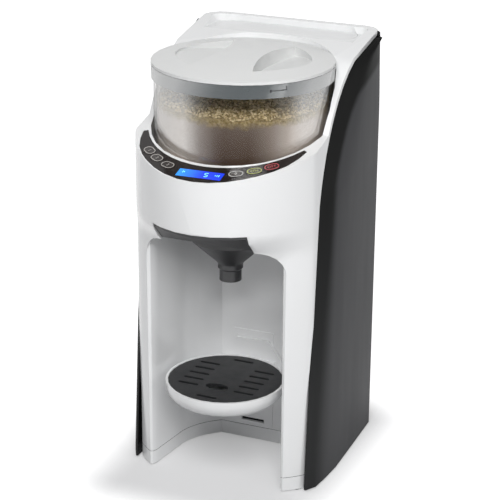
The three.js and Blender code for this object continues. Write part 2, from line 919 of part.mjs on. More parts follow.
function browCuts() {
  const cuts = keyAngles.map((angle) => plate(keyOutline(angle, keyPlay), boardZ, bodyHeight));
  cuts.push(plate(displayOutline(seatGap), boardZ, bodyHeight));
  return joined(cuts);
}

// Front housing
function boardPosts() {
  return joined(boardPostAngles.map((angle) => {
    const [x, y] = browPlace(angle, browMiddle(angle));
    return rod(boardPostRadius, boardZ + boardThick + seatGap, browHeight(y), x, y);
  }));
}

function screwPlaces() {
  return [
    [-legScrewX, noseY + frontScrewSetback], [legScrewX, noseY + frontScrewSetback],
    [-legScrewX, rearY - rearScrewLead], [legScrewX, rearY - rearScrewLead],
  ];
}

function housingBosses() {
  const top = housingLowZ + bossHeight;
  return joined(screwPlaces().map(([x, y]) => {
    const side = Math.sign(x);
    const outer = side * (coreHalf - wall / 2);
    const web = block(Math.min(x, outer), Math.max(x, outer), y - wall / 2, y + wall / 2,
      housingLowZ, top);
    return rod(bossRadius, housingLowZ, top, x, y).add(web);
  }));
}

function traySlots() {
  const slots = [];
  for (let i = 0; i < slotCount; i += 1) {
    const z = slotLow + i * slotPitch;
    slots.push(block(-tabHalf - slotPlay, tabHalf + slotPlay, bayBackY - stripProud - cutOver,
      bayBackY + wall + cutOver, z - tabThick / 2 - slotPlay, z + tabThick / 2 + slotPlay));
  }
  return joined(slots);
}

function deckPocket() {
  const top = bodyHeight + cutOver;
  const ring = (inset, z) => bodyRing(noseDepth, coreHalf, coreCorner, coreRearY, inset, z);
  const pocket = loft([ring(deckRim + deckRimSlope, deckFloorZ), ring(deckRim, bodyHeight),
    ring(deckRim, top)]);
  return pocket.intersect(block(-bodyWidth, bodyWidth, deckFrontY, rearY, bayTopZ, 2 * bodyHeight));
}

function tankShape(grow) {
  const half = tankHalf + grow;
  const front = tankFrontY - grow;
  const rear = tankRearY + grow;
  const small = tankFrontRadius + grow;
  const corner = Math.min(tankCornerRadius + grow, rear - front - small - seatGap);
  const shape = new THREE.Shape();
  shape.moveTo(-half + small, front);
  shape.lineTo(half - small, front);
  shape.absarc(half - small, front + small, small, -Math.PI / 2, 0);
  if (rear - corner > front + small) shape.lineTo(half, rear - corner);
  shape.absarc(half - corner, rear - corner, corner, 0, Math.PI / 2);
  shape.lineTo(-half + corner, rear);
  shape.absarc(-half + corner, rear - corner, corner, Math.PI / 2, Math.PI);
  if (rear - corner > front + small) shape.lineTo(-half, front + small);
  shape.absarc(-half + small, front + small, small, Math.PI, 1.5 * Math.PI);
  return shape;
}

function rearWindow(grow) {
  const shape = roundedBox(-rearWindowHalf - grow, rearWindowHalf + grow,
    rearWindowLow - grow, bodyHeight - rearWindowDrop + grow, tankFrontRadius);
  return alongY(shape, tankRearY, rearY + cutOver);
}

function frontHousing() {
  const outer = withoutPanelSpace(bodyLoft(housingLowZ, bodyHeight, 0))
    .subtract(aboveTop(0, 0));
  const inside = bodyLoft(-cutOver, bodyHeight + cutOver, wall)
    .intersect(corePrism(-2 * cutOver, bodyHeight + 2 * cutOver, wall))
    .subtract(aboveTop(-wall, -wall))
    .subtract(block(-bodyWidth, bodyWidth, deckFrontY - wall, rearY, deckFloorZ - deckFloorWall,
      bodyHeight + 2 * cutOver));
  let shell = outer.subtract(inside);
  const inner = [recessCup(), bayVoid(wall), notchVoid(wall), boardPosts(), housingBosses()];
  shell = shell.add(joined(inner).intersect(outer));
  shell = shell.subtract(joined([recessSpace(), bayVoid(0), notchVoid(0)]));
  shell = shell.add(block(-stripHalf, stripHalf, bayBackY - stripProud, bayBackY + wall / 2,
    stripFoot, stripHead));
  shell = shell.subtract(traySlots()).subtract(deckPocket());
  shell = shell.subtract(plate(tankShape(slideGap), deckFloorZ - 2 * cutOver, bodyHeight));
  shell = shell.subtract(rearWindow(0)).subtract(inletHole(0));
  const pocket = plate(crescentShape(0), boardZ, bodyHeight)
    .subtract(browSolid(-crescentThick - seatGap));
  shell = shell.subtract(pocket).subtract(browCuts());
  shell = shell.subtract(rod(shaftRadius + seatGap + bearingWall + seatGap, cupLowZ - cutOver,
    recessFloorZ + cutOver, 0, hopperY, 2 * smallSteps));
  shell = shell.subtract(rod(outletRadius, ceilingZ - cutOver, recessFloorZ + cutOver, 0, spoutY));
  shell = shell.subtract(rod(nozzleRadius + seatGap, chinZ - cutOver, ceilingZ + cutOver,
    nozzleX, nozzleY));
  const pilots = screwPlaces().map(([x, y]) =>
    rod(screwShankRadius + seatGap, -cutOver, footHeight + screwLength + cutOver, x, y));
  return shell.subtract(joined(pilots));
}

// Base with the same outline, closed below
function baseTray() {
  const outer = withoutPanelSpace(bodyLoft(footHeight, baseTop, 0)).subtract(bayVoid(0));
  const inside = bodyLoft(floorTopZ, bodyHeight, baseWall)
    .intersect(corePrism(floorTopZ, bodyHeight, baseWall))
    .subtract(bayVoid(baseWall).add(plate(bayPlan(baseWall), -cutOver, bodyHeight)));
  let tray = outer.subtract(inside);
  const bosses = screwPlaces().map(([x, y]) => rod(bossRadius, footHeight, baseTop, x, y));
  tray = tray.add(joined(bosses));
  const cuts = [];
  for (const [x, y] of screwPlaces()) {
    cuts.push(rod(screwHeadRadius + seatGap, -cutOver,
      footHeight + seatGap + screwHeadHeight + seatGap, x, y));
    cuts.push(rod(screwShankRadius + seatGap, -cutOver, baseTop + cutOver, x, y));
  }
  for (const [x, y] of footPlaces()) {
    cuts.push(rod(footRadius + seatGap, -cutOver, footThick + seatGap, x, y));
  }
  return tray.subtract(joined(cuts));
}

function footPlaces() {
  return [
    [-footX, noseY + frontFootSetback], [footX, noseY + frontFootSetback],
    [-footX, rearY - rearFootLead], [footX, rearY - rearFootLead],
  ];
}

function foot(x, y) {
  return rod(footRadius, 0, footThick, x, y);
}

function baseScrew(x, y) {
  const headLow = footHeight + seatGap;
  return rod(screwHeadRadius, headLow, headLow + screwHeadHeight, x, y)
    .add(rod(screwShankRadius, headLow, headLow + screwLength, x, y));
}

// Side panel: one bowed skin from the bevelled edge round the rear corner
function bulgeAt(distance, length, bevel, height) {
  const aboveStart = (height / bodyHeight - bulgeTopStartShare) / (1 - bulgeTopStartShare);
  const top = 1 - (1 - bulgeTopShare) * ease(aboveStart);
  if (distance <= bevel) return panelBulge * top * bevelRiseShare * distance / bevel;
  const share = (distance - bevel) / Math.max(length - bevel, bevel);
  const crown = Math.sin(Math.min(share / bulgeCrownShare, 1) * Math.PI / 2);
  const rise = bevelRiseShare + (1 - bevelRiseShare) * crown;
  const fall = (1 - bulgeEndShare) * ease((share - bulgeCrownShare) / (1 - bulgeCrownShare));
  return panelBulge * top * (rise - fall);
}

function panelRing(side, edge, heightAt, full = false) {
  const startY = Math.min(edge, cornerY - panelTail);
  const length = cornerY - startY;
  const low = heightAt(startY);
  const growth = ease((low / bodyHeight - bevelGrowStartShare) / bevelGrowRunShare);
  const bevel = Math.min(bevelFoot + (bevelShoulder - bevelFoot) * growth, length / 3);
  const outer = [];
  const inner = [];
  const keep = (x, y, nx, ny, bulge) => {
    const skin = Math.min(panelSkin, panelSkin + bulge);
    const back = full ? -panelSkin : Math.max(bulge - skin, -panelSkin);
    const z = heightAt(y);
    outer.push(new THREE.Vector3(side * (x + nx * bulge), y + ny * bulge, z));
    inner.push(new THREE.Vector3(side * (x + nx * back), y + ny * back, z));
  };
  for (const share of bevelRings) {
    const d = bevel * share;
    keep(halfFront, startY + d, 1, 0, bulgeAt(d, length, bevel, low));
  }
  for (const share of flankRings) {
    const d = bevel + (length - bevel) * share;
    keep(halfFront, startY + d, 1, 0, bulgeAt(d, length, bevel, low));
  }
  const end = bulgeAt(length, length, bevel, low);
  for (let i = 1; i <= cornerSteps; i += 1) {
    const angle = i / cornerSteps * Math.PI / 2;
    keep(cornerX + panelCornerRadius * Math.cos(angle), cornerY + panelCornerRadius * Math.sin(angle),
      Math.cos(angle), Math.sin(angle), end * (1 - ease(i / cornerSteps)));
  }
  const seam = side * (cornerX - panelRearReturn);
  outer.push(new THREE.Vector3(seam, rearY, heightAt(rearY)));
  inner.push(new THREE.Vector3(seam, rearY - panelSkin, heightAt(rearY)));
  return [...outer, ...inner.reverse()];
}

function sidePanel(side) {
  const line = edgePoints(0, 0);
  const low = panelRise;
  const [foot, ...rest] = line.slice(0, -1);
  const rings = [
    panelRing(side, foot.x, () => low, true),
    panelRing(side, foot.x, () => low + panelSole, true),
    panelRing(side, foot.x, () => low + panelSole + panelSkin),
    ...rest.map((p) => panelRing(side, p.x, () => p.y)),
  ];
  const [shoulder, back] = line.slice(-2);
  const slope = (back.y - shoulder.y) / (back.x - shoulder.x);
  rings.push(panelRing(side, cornerY, (y) => shoulder.y + slope * (y - shoulder.x)));
  return loft(rings);
}

function inletHole(grow) {
  return block(inletX - inletWidth / 2 - seatGap, inletX + inletWidth / 2 + seatGap,
    rearY - inletDepth - seatGap, rearY + cutOver,
    inletLow - seatGap - grow, inletLow + inletHeight + seatGap + grow);
}

function rearCover() {
  const half = cornerX - panelRearReturn - seatGap;
  const shape = roundedBox(-half, half, rearFoot, bodyHeight - rearDrop, tankFrontRadius / 2);
  const inner = rearY - panelSkin;
  const cover = alongY(shape, inner, rearY).subtract(rearWindow(0));
  return cover.subtract(inletHole(0));
}

// Control panel, display and keys
function controlPanel() {
  const slab = plate(crescentShape(seatGap), boardZ, bodyHeight)
    .intersect(browSolid(0))
    .subtract(browSolid(-crescentThick));
  return slab.subtract(browCuts());
}

function displayWindow() {
  const [, y] = browPlace(0, browMiddle(0));
  const low = browHeight(y) - displayDepth;
  return plate(displayOutline(0), low, bodyHeight).intersect(browSolid(0));
}

function key(angle) {
  const [x, y] = browPlace(angle, browMiddle(angle));
  const middle = browHeight(y);
  const headLow = middle - keyHeadDepth;
  const head = plate(keyOutline(angle, 0), headLow, bodyHeight)
    .intersect(browSolid(keyProud));
  const stemLow = boardZ + boardThick + seatGap + keyTravel;
  return head.add(rod(keyStemRadius, stemLow, middle, x, y));
}

function panelBoard() {
  const steps = noseSteps / 2;
  const outline = [];
  for (let i = 0; i <= steps; i += 1) {
    const angle = boardAngle * (2 * i / steps - 1);
    outline.push(browPlace(angle, crescentOuter(angle, boardInset)));
  }
  for (let i = steps; i >= 0; i -= 1) {
    const angle = boardAngle * (2 * i / steps - 1);
    outline.push(browPlace(angle, crescentInner + seatGap));
  }
  return plate(polygon(outline), boardZ, boardZ + boardThick);
}

// Hopper and what turns in it
function hopper() {
  const profile = [[0, hopperLowZ]];
  const inner = [];
  const fillet = hopperFillet;
  const innerFillet = fillet - hopperWall;
  for (let i = 0; i <= arcSteps; i += 1) {
    const angle = (i / arcSteps - 1) * Math.PI / 2;
    profile.push([hopperRadius - fillet + fillet * Math.cos(angle),
      hopperLowZ + fillet + fillet * Math.sin(angle)]);
    inner.push([hopperRadius - fillet + innerFillet * Math.cos(angle),
      hopperLowZ + hopperFloor + innerFillet + innerFillet * Math.sin(angle)]);
  }
  profile.push([hopperRadius, hopperTopZ], [hopperRadius - hopperWall, hopperTopZ]);
  profile.push(...inner.reverse(), [0, hopperLowZ + hopperFloor]);
  const post = block(-scraperPost / 2, scraperPost / 2, hopperY - scraperSpan - scraperPost / 2,
    hopperY - scraperSpan + scraperPost / 2, hopperLowZ + hopperFloor / 2, rotorTopZ + floorLift);
  return turned(profile, 0, hopperY)
    .add(post)
    .subtract(rod(shaftRadius + runGap, hopperLowZ - cutOver, rotorLowZ, 0, hopperY))
    .subtract(rod(outletRadius, hopperLowZ - cutOver, rotorLowZ, 0, spoutY));
}

function dosingWheel() {
  const wheel = rod(rotorRadius, rotorLowZ, rotorTopZ, 0, hopperY, roundSteps);
  const reach = hopperY - spoutY;
  const pockets = [];
  for (let i = 0; i < pocketCount; i += 1) {
    const angle = (i + 0.5) / pocketCount * 2 * Math.PI;
    pockets.push(rod(pocketRadius, rotorLowZ - cutOver, rotorTopZ + cutOver,
      reach * Math.sin(angle), hopperY + reach * Math.cos(angle)));
  }
  const half = dogSide / 2 + dogPlay;
  const socket = block(-half, half, hopperY - half, hopperY + half, rotorLowZ - cutOver,
    rotorLowZ + dogReach + dogPlay);
  return wheel.subtract(joined(pockets)).subtract(socket);
}

function dosingScraper() {
  const low = rotorTopZ + floorLift + seatGap;
  const front = hopperY - scraperSpan - scraperPost / 2;
  const inner = hopperY - stirHubRadius - 2 * runGap;
  const shape = polygon([[-scraperHalf / 2, front], [scraperHalf / 2, front],
    [scraperHalf, spoutY], [scraperHalf / 2, inner], [-scraperHalf / 2, inner], [-scraperHalf, spoutY]]);
  return plate(shape, low, low + scraperThick);
}

function stirrer() {
  const low = rotorTopZ + seatGap;
  const armLow = rotorTopZ + floorLift + seatGap + scraperThick + runGap;
  let body = rod(stirHubRadius, low, low + stirHubHeight, 0, hopperY);
  for (let i = 0; i < stirArmCount; i += 1) {
    const arm = new THREE.BoxGeometry(stirReach, stirArmWidth, stirArmThick);
    arm.translate(stirReach / 2, 0, armLow + stirArmThick / 2);
    const fin = new THREE.BoxGeometry(stirArmThick, stirArmWidth, stirFinHeight);
    fin.translate(stirReach - stirArmThick / 2, 0, armLow + stirFinHeight / 2);
    for (const geometry of [arm, fin]) {
      geometry.rotateZ((i + 0.5) / stirArmCount * 2 * Math.PI);
      geometry.translate(0, hopperY, 0);
      body = body.add(solidOf(geometry));
    }
  }
  return body;
}

// Lid with its two finger scoops either side of the grip
function scoopPlan(side, grow) {
  const end = scoopHalfLength + grow;
  const corner = gripEndHalf - grow / 2;
  const rise = [scoopReach + grow - corner, gripMidHalf - grow - corner];
  const points = [];
  for (const [turn, bow] of rise.entries()) {
    for (let i = 0; i < scoopSteps; i += 1) {
      const t = (1 - 2 * i / scoopSteps) * (turn ? -1 : 1);
      points.push([side * (corner + bow * (1 - t * t)), hopperY + end * t]);
    }
  }
  return polygon(points);
}

function scoop(side, grow) {
  const inner = gripMidHalf - cutOver;
  const outer = scoopReach + cutOver;
  const deep = lidTopZ - scoopFloorDrop - grow;
  const shallow = lidRimZ + scoopEdgeDrop / 2 - grow;
  const sky = bodyHeight;
  const wedge = polygon([[side * inner, deep], [side * outer, shallow],
    [side * outer, sky], [side * inner, sky]]);
  const run = alongY(wedge, hopperY - lidRadius, hopperY + lidRadius);
  return run.intersect(plate(scoopPlan(side, grow), deep - cutOver, sky));
}

function lidDomeProfile(drop) {
  const points = [[0, lidTopZ - drop]];
  const steps = arcSteps;
  for (let i = 1; i <= steps; i += 1) {
    const share = i / steps;
    points.push([lidRadius * share, lidTopZ - drop - lidDome * share * share]);
  }
  return points;
}

function hopperLid() {
  const edgeLow = lidRimZ - lidEdge;
  const collarOuter = hopperRadius - hopperWall - lidSealThick - seatGap;
  const collarInner = collarOuter - lidCollarWall;
  const under = lidDomeProfile(lidShell).filter(([r]) => r < collarInner).reverse();
  const profile = [...lidDomeProfile(0), [lidRadius, edgeLow], [collarOuter, edgeLow],
    [collarOuter, edgeLow - lidCollarDepth], [collarInner, edgeLow - lidCollarDepth],
    [collarInner, edgeLow], ...under];
  const dome = turned(profile, 0, hopperY);
  const roof = turned([...lidDomeProfile(0), [lidRadius, edgeLow - cutOver * 4], [0, edgeLow - cutOver * 4]],
    0, hopperY);
  let lid = dome;
  for (const side of [-1, 1]) lid = lid.add(scoop(side, lidShell).intersect(roof));
  for (const side of [-1, 1]) lid = lid.subtract(scoop(side, 0));
  return lid;
}

function lidRing() {
  const high = lidRimZ - lidEdge - seatGap;
  const outer = lidRadius;
  const inner = hopperRadius + seatGap;
  return turned([[inner, high], [outer, high], [outer, high - lidRingHeight],
    [inner, high - lidRingHeight], [inner, high]], 0, hopperY);
}

function lidSeal() {
  const high = lidRimZ - lidEdge - 2 * seatGap;
  const outer = hopperRadius - hopperWall - seatGap;
  const inner = hopperRadius - hopperWall - lidSealThick;
  return turned([[inner, high], [outer, high], [outer, high - lidSealHeight],
    [inner, high - lidSealHeight], [inner, high]], 0, hopperY);
}

// Drive train between the recess and the bay's ceiling
function gearShape(teeth, phase, x, y) {
  const pitch = gearModule * teeth / 2;
  const tip = pitch + gearModule * addendumShare;
  const root = pitch - gearModule * dedendumShare;
  const step = 2 * Math.PI / teeth;
  const points = [];
  for (let i = 0; i < teeth; i += 1) {
    const centre = phase + i * step;
    for (const [radius, share] of [[root, -toothRootShare], [tip, -toothTipShare],
      [tip, toothTipShare], [root, toothRootShare]]) {
      const angle = centre + share * step;
      points.push([x + radius * Math.cos(angle), y + radius * Math.sin(angle)]);
    }
  }
  return polygon(points);
}

function driveGear() {
  const shape = gearShape(driveTeeth, Math.PI / 2, 0, hopperY);
  const gear = plate(shape, gearLowZ, gearLowZ + gearThick);
  const shaft = rod(shaftRadius, plateTopZ + seatGap, hopperLowZ + hopperFloor / 2, 0, hopperY);
  const half = dogSide / 2;
  const dog = block(-half, half, hopperY - half, hopperY + half, gearLowZ, rotorLowZ + dogReach);
  return joined([gear, shaft, dog]);
}

function driveBearing() {
  const bore = shaftRadius + seatGap;
  const outer = bore + bearingWall;
  const rim = outer + bearingFlange;
  const under = cupLowZ - seatGap;
  return turned([[bore, recessFloorZ], [outer, recessFloorZ], [outer, under], [rim, under],
    [rim, under - bearingLip], [bore, under - bearingLip], [bore, recessFloorZ]],
    0, hopperY, 2 * smallSteps);
}

function idlerGear() {
  const step = Math.PI / idlerTeeth;
  const shape = gearShape(idlerTeeth, -Math.PI / 2 + step, 0, idlerY);
  return plate(shape, gearLowZ, gearLowZ + gearThick)
    .subtract(rod(idlerPinRadius + seatGap, gearLowZ - cutOver, gearLowZ + gearThick + cutOver, 0, idlerY));
}

function idlerPin() {
  const foot = plateTopZ - plateThick / 2;
  const stop = gearLowZ - seatGap;
  return rod(idlerPinRadius, foot, gearLowZ + gearThick + seatGap, 0, idlerY)
    .add(rod(2 * idlerPinRadius, plateTopZ + seatGap, stop, 0, idlerY));
}

function motorPinion() {
  const shape = gearShape(pinionTeeth, -Math.PI / 2, 0, motorY);
  return plate(shape, gearLowZ, gearLowZ + gearThick)
    .add(rod(motorShaftRadius, plateLowZ - motorCollarHeight, gearLowZ + gearThick / 2, 0, motorY));
}

function gearPlate() {
  const back = motorY + plateHalf;
  const front = hopperY - plateFront;
  const shape = roundedBox(-plateHalf, plateHalf, front, back, plateFront / 2);
  const pocketLow = plateTopZ - plateThick / 2 - seatGap;
  return plate(shape, plateLowZ, plateTopZ)
    .subtract(rod(idlerPinRadius + seatGap, pocketLow, plateTopZ + cutOver, 0, idlerY))
    .subtract(rod(motorCollarRadius + seatGap, plateLowZ - cutOver, plateTopZ + cutOver, 0, motorY));
}

function driveMotor() {
  const high = plateLowZ - seatGap;
  return rod(motorRadius, high - motorHeight, high, 0, motorY)
    .add(rod(motorCollarRadius, high - motorCollarHeight, plateTopZ - seatGap, 0, motorY))
    .add(rod(motorPilotRadius, high - motorHeight - motorCollarHeight, high, 0, motorY))
    .subtract(rod(motorShaftRadius + seatGap, high - 2 * motorCollarHeight, plateTopZ + cutOver, 0, motorY));
}

function powderChute() {
  const low = ceilingZ + seatGap;
  const high = cupLowZ - seatGap;
  const flange = low + chuteFlange;
  const rim = chuteOuterRadius + chuteFlange;
  return turned([[outletRadius, low], [rim, low], [rim, flange], [chuteOuterRadius, flange],
    [chuteOuterRadius, high], [outletRadius, high], [outletRadius, low]], 0, spoutY, smallSteps);
}

// Funnel unit
function coverPlan(inset) {
  const half = notchHalf - coverPlay - inset;
  const radius = chinRadius - coverFrontSetback - inset;
  const end = Math.asin(half / radius);
  const back = spoutY + coverTail + coverPlay - inset;
  const shape = new THREE.Shape();
  shape.moveTo(half, back);
  shape.lineTo(-half, back);
  for (let i = 0; i <= 2 * arcSteps; i += 1) {
    const angle = end * (i / arcSteps - 1);
    shape.lineTo(radius * Math.sin(angle), trayY - radius * Math.cos(angle));
  }
  return shape;
}

function bevelSpace(shift) {
  const top = chinZ - coverPlay;
  const lip = trayY - chinRadius * Math.cos(Math.asin(notchHalf / chinRadius));
  const reach = coverSkirt * coverBevelShare;
  return acrossX(polygon([[noseY - 2 * bodyDepth, top - shift], [lip + shift, top],
    [lip + shift + reach, top - coverSkirt], [lip + shift + 3 * reach, top - 3 * coverSkirt],
    [noseY - 2 * bodyDepth, top - 3 * coverSkirt]]), -bodyWidth, bodyWidth);
}

function funnelCover() {
  const top = chinZ - coverPlay;
  const low = top - coverSkirt;
  const lip = coverTop;
  const bevel = bevelSpace(0);
  const frontKeep = plate(coverPlan(0), top - lip, top);
  const body = plate(coverPlan(0), low, top - lip / 2).subtract(bevel);
  const hollow = plate(coverPlan(coverWall), low - cutOver, top - coverTop)
    .subtract(bevelSpace(coverWall));
  return body.subtract(hollow).add(frontKeep)
    .subtract(rod(funnelMouthRadius, low - cutOver, top + cutOver, 0, spoutY, roundSteps));
}

function funnelProfile() {
  const top = chinZ - coverPlay - coverTop - seatGap;
  const coneTop = top - funnelRimHeight;
  const coneLow = coneTop - funnelConeDrop;
  const neckLow = coneLow - funnelNeckLength;
  const tip = coneLow - funnelSpoutLength;
  const t = funnelWall;
  const rim = funnelRimRadius;
  return [
    [rim, top], [rim, coneTop + funnelStep], [rim - funnelStep, coneTop],
    [rim - funnelSill, coneTop - funnelStep / 2], [funnelNeckRadius + funnelStep, coneLow + funnelStep / 2],
    [funnelNeckRadius, coneLow - funnelStep], [funnelNeckRadius, neckLow + funnelStep],
    [funnelSpoutRadius, neckLow], [funnelSpoutRadius, tip],
    [funnelSpoutRadius - t, tip], [funnelSpoutRadius - t, coneLow - funnelStep],
    [funnelNeckRadius - t, coneLow + t], [rim - funnelSill, coneTop + t],
    [rim - t, coneTop + 2 * t], [rim - t, top], [rim, top],
  ];
}

function funnel() {
  return turned(funnelProfile(), 0, spoutY, funnelSteps);
}

function funnelRail(side) {
  const outer = notchHalf - seatGap;
  const inner = outer - railWidth;
  const high = chinZ - coverPlay - coverSkirt - seatGap;
  const front = flankY - railSetback;
  const back = notchBackY - seatGap;
  return block(Math.min(side * inner, side * outer), Math.max(side * inner, side * outer),
    front, back, high - railHeight, high);
}

// Drip tray with its upstand and tab, and the loose grate
function trayBowl(inset, lift) {
  const run = trayRadius - trayFootRadius;
  const rise = trayHeight - trayRimDrop;
  const points = [];
  for (let i = 0; i <= arcSteps; i += 1) {
    const angle = i / arcSteps * Math.PI / 2;
    points.push([trayFootRadius - inset + run * Math.sin(angle),
      trayLowZ + lift + (rise - lift) * (1 - Math.cos(angle))]);
  }
  return points;
}

function dripTray() {
  const r = trayRadius;
  const t = trayWall;
  const ledgeZ = trayTop - grateSink - grateThick - seatGap;
  const ledge = r - t - grateLedge;
  const inner = trayBowl(t + grateLedge, t).filter(([radius]) => radius < ledge - t / 2);
  const bowl = turned([[0, trayLowZ], ...trayBowl(0, 0), [r, trayTop], [r - t, trayTop], [r - t, ledgeZ],
    [ledge, ledgeZ], ...[...inner].reverse(), [0, trayLowZ + t]], 0, trayY);
  const sky = trayTop + trayHeight;
  const inside = turned([[0, trayLowZ + t], ...inner, [ledge, ledgeZ], [r - t, ledgeZ],
    [r - t, sky], [0, sky]], 0, trayY);
  const back = trayBackY;
  const top = trayLowZ + trayUpstandHeight;
  const arm = block(-trayArmHalf, trayArmHalf, trayY + trayFootRadius, back, trayLowZ + t,
    trayTop - trayRimDrop);
  const upstand = alongY(polygon([[-trayUpstandFootHalf, trayLowZ + t], [trayUpstandFootHalf, trayLowZ + t],
    [trayUpstandFootHalf, trayTop - trayRimDrop], [trayUpstandHalf, top], [-trayUpstandHalf, top],
    [-trayUpstandFootHalf, trayTop - trayRimDrop]]), back - trayUpstandThick, back);
  const tabZ = slotLow + (slotCount - 1) * slotPitch;
  const tab = block(-tabHalf, tabHalf, back - trayUpstandThick / 2, back + tabReach + stripProud,
    tabZ - tabThick / 2, tabZ + tabThick / 2);
  return joined([bowl, arm.subtract(inside), upstand, tab]);
}

function trayGrate() {
  const high = trayTop - grateSink;
  const low = high - grateThick;
  const disc = rod(trayRadius - trayWall - seatGap, low, high, 0, trayY, roundSteps);
  const slot = capsule(trayRadius * grateSlotShare, grateSlotWidth);
  const column = trayRadius * grateColumnShare;
  const pitch = trayRadius * grateRowShare;
  const cuts = [];
  for (let row = -grateRowsEachWay; row <= grateRowsEachWay; row += 1) {
    for (const side of [-1, 1]) {
      const place = placed(slot, 0, side * column, trayY + grateRowShift + row * pitch);
      cuts.push(plate(polygon(place), low - cutOver, high + cutOver));
    }
  }
  for (const end of [-1, 1]) {
    cuts.push(plate(polygon(placed(slot, 0, 0, trayY + end * trayRadius * grateEndShare)),
      low - cutOver, high + cutOver));
  }
  const dip = placed(oval(trayRadius * grateDipLengthShare, trayRadius * grateDipWidthShare), 0,
    0, trayY - trayRadius * grateDipShiftShare);
  cuts.push(plate(polygon(dip), low - cutOver, high + cutOver));
  return disc.subtract(joined(cuts));
}

// Water tank and what it stands on
function tank() {
  const outer = plate(tankShape(0), tankLowZ, tankTopZ);
  const inner = plate(tankShape(-tankWall), tankLowZ + tankWall, tankTopZ + cutOver);
  const portY = (tankFrontY + tankRearY) / 2;
  const spigot = rod(portRadius - sealThick - seatGap, tankLowZ - spigotLength, tankLowZ + tankWall / 2,
    portX, portY);
  const bore = rod(portRadius - sealThick - seatGap - portWall, tankLowZ - spigotLength - cutOver,
    tankLowZ + 2 * cutOver, portX, portY);
  return outer.subtract(inner).add(spigot).subtract(bore);
}

function tankFilter() {
  const portY = (tankFrontY + tankRearY) / 2;
  const low = tankLowZ + tankWall + seatGap;
  const radius = portRadius - sealThick + seatGap;
  const bore = radius - portWall;
  return rod(radius, low, low + filterHeight, portX, portY)
    .subtract(rod(bore, low - cutOver, low + filterHeight - portWall, portX, portY));
}

function tankLid() {
  const low = tankTopZ + seatGap;
  const high = deckFloorZ;
  const cap = plate(tankShape(slideGap - seatGap), low, high);
  const plug = plate(tankShape(-tankWall - tankLidLip), low - tankLidPlug, low + tankLidThick / 2);
  return cap.add(plug);
}

function tankDock() {
  const low = floorTopZ + seatGap;
  const portY = (tankFrontY + tankRearY) / 2;
  const body = plate(roundedBox(-dockHalf, dockHalf, tankFrontY, tankRearY, tankFrontRadius),
    low, dockTopZ);
  const hoseZ = low + hoseRadius + portWall;
  return body.subtract(rod(portRadius, low + portWall, dockTopZ + cutOver, portX, portY))
    .subtract(inletHole(dockHeight))
    .add(rodDeep(hoseRadius, tankFrontY - nippleLength, tankFrontY + portWall, portX, hoseZ, hoseSides));
}

function portSeal() {
  const portY = (tankFrontY + tankRearY) / 2;
  const outer = portRadius - seatGap;
  const inner = portRadius - sealThick;
  const high = dockTopZ - seatGap;
  const low = high - sealThick;
  return turned([[inner, high], [outer, high], [outer, low], [inner, low], [inner, high]],
    portX, portY, smallSteps);
}

// Chassis plate with pump, heater, boards, nozzle and hoses
function chassisPlate() {
  const shape = polygon([
    [-chassisHalf, floorTopZ + seatGap], [-chassisGateHalf, floorTopZ + seatGap],
    [-chassisGateHalf, chassisGateTop], [chassisGateHalf, chassisGateTop],
    [chassisGateHalf, floorTopZ + seatGap], [chassisHalf, floorTopZ + seatGap],
    [chassisHalf, chassisTop], [-chassisHalf, chassisTop],
  ]);
  return alongY(shape, chassisY, chassisY + chassisThick);
}

function pump() {
  const head = pumpX + pumpHeadLength;
  const saddleLow = floorTopZ + seatGap;
  const body = rodAcross(pumpRadius, head - seatGap, head + pumpLength, pumpY, pumpZ);
  const housing = block(pumpX, head, pumpY - pumpHeadHalf, pumpY + pumpHeadHalf,
    pumpZ - pumpRadius, pumpZ + pumpRadius);
  const saddle = block(head + pumpSaddle, head + pumpLength - pumpSaddle, pumpY - pumpRadius / 2,
    pumpY + pumpRadius / 2, saddleLow, pumpZ);
  const stand = block(pumpX, head, pumpY - pumpRadius / 2, pumpY + pumpRadius / 2, saddleLow, pumpZ);
  const out = rod(hoseRadius, pumpZ, pumpZ + pumpRadius + nippleLength, pumpX + pumpHeadLength / 2,
    pumpY, hoseSides);
  const inlet = rodDeep(hoseRadius, pumpY, pumpY + pumpHeadHalf + nippleLength,
    pumpX + pumpHeadLength / 2, pumpZ, hoseSides);
  return joined([body, housing, saddle, stand, out, inlet]);
}

function heater() {
  const high = heaterLow + heaterHeight;
  return joined([
    rod(heaterRadius, heaterLow, high, heaterX, heaterY),
    rod(heaterRadius / 2, heaterLow - heaterCap, high + heaterCap, heaterX, heaterY),
    rod(hoseRadius, heaterLow - heaterCap - nippleLength, high + heaterCap + nippleLength,
      heaterX, heaterY, hoseSides),
  ]);
}

function hoseTankPump() {
  const start = [portX, tankFrontY - nippleLength - seatGap,
    floorTopZ + seatGap + hoseRadius + portWall];
  const end = [pumpX + pumpHeadLength / 2, pumpY + pumpHeadHalf + nippleLength + seatGap, pumpZ];
  const third = (start[1] - end[1]) / 3;
  return tube([start, [start[0], start[1] - third, start[2]], [end[0], end[1] + third, end[2]], end],
    hoseRadius);
}

function hosePumpHeater() {
  const start = [pumpX + pumpHeadLength / 2, pumpY, pumpZ + pumpRadius + nippleLength + seatGap];
  const end = [heaterX, heaterY, heaterLow - heaterCap - nippleLength - seatGap];
  const third = (end[2] - start[2]) / 3;
  return tube([start, [start[0], start[1], start[2] + third], [end[0], end[1], end[2] - third], end],
    hoseRadius);
}

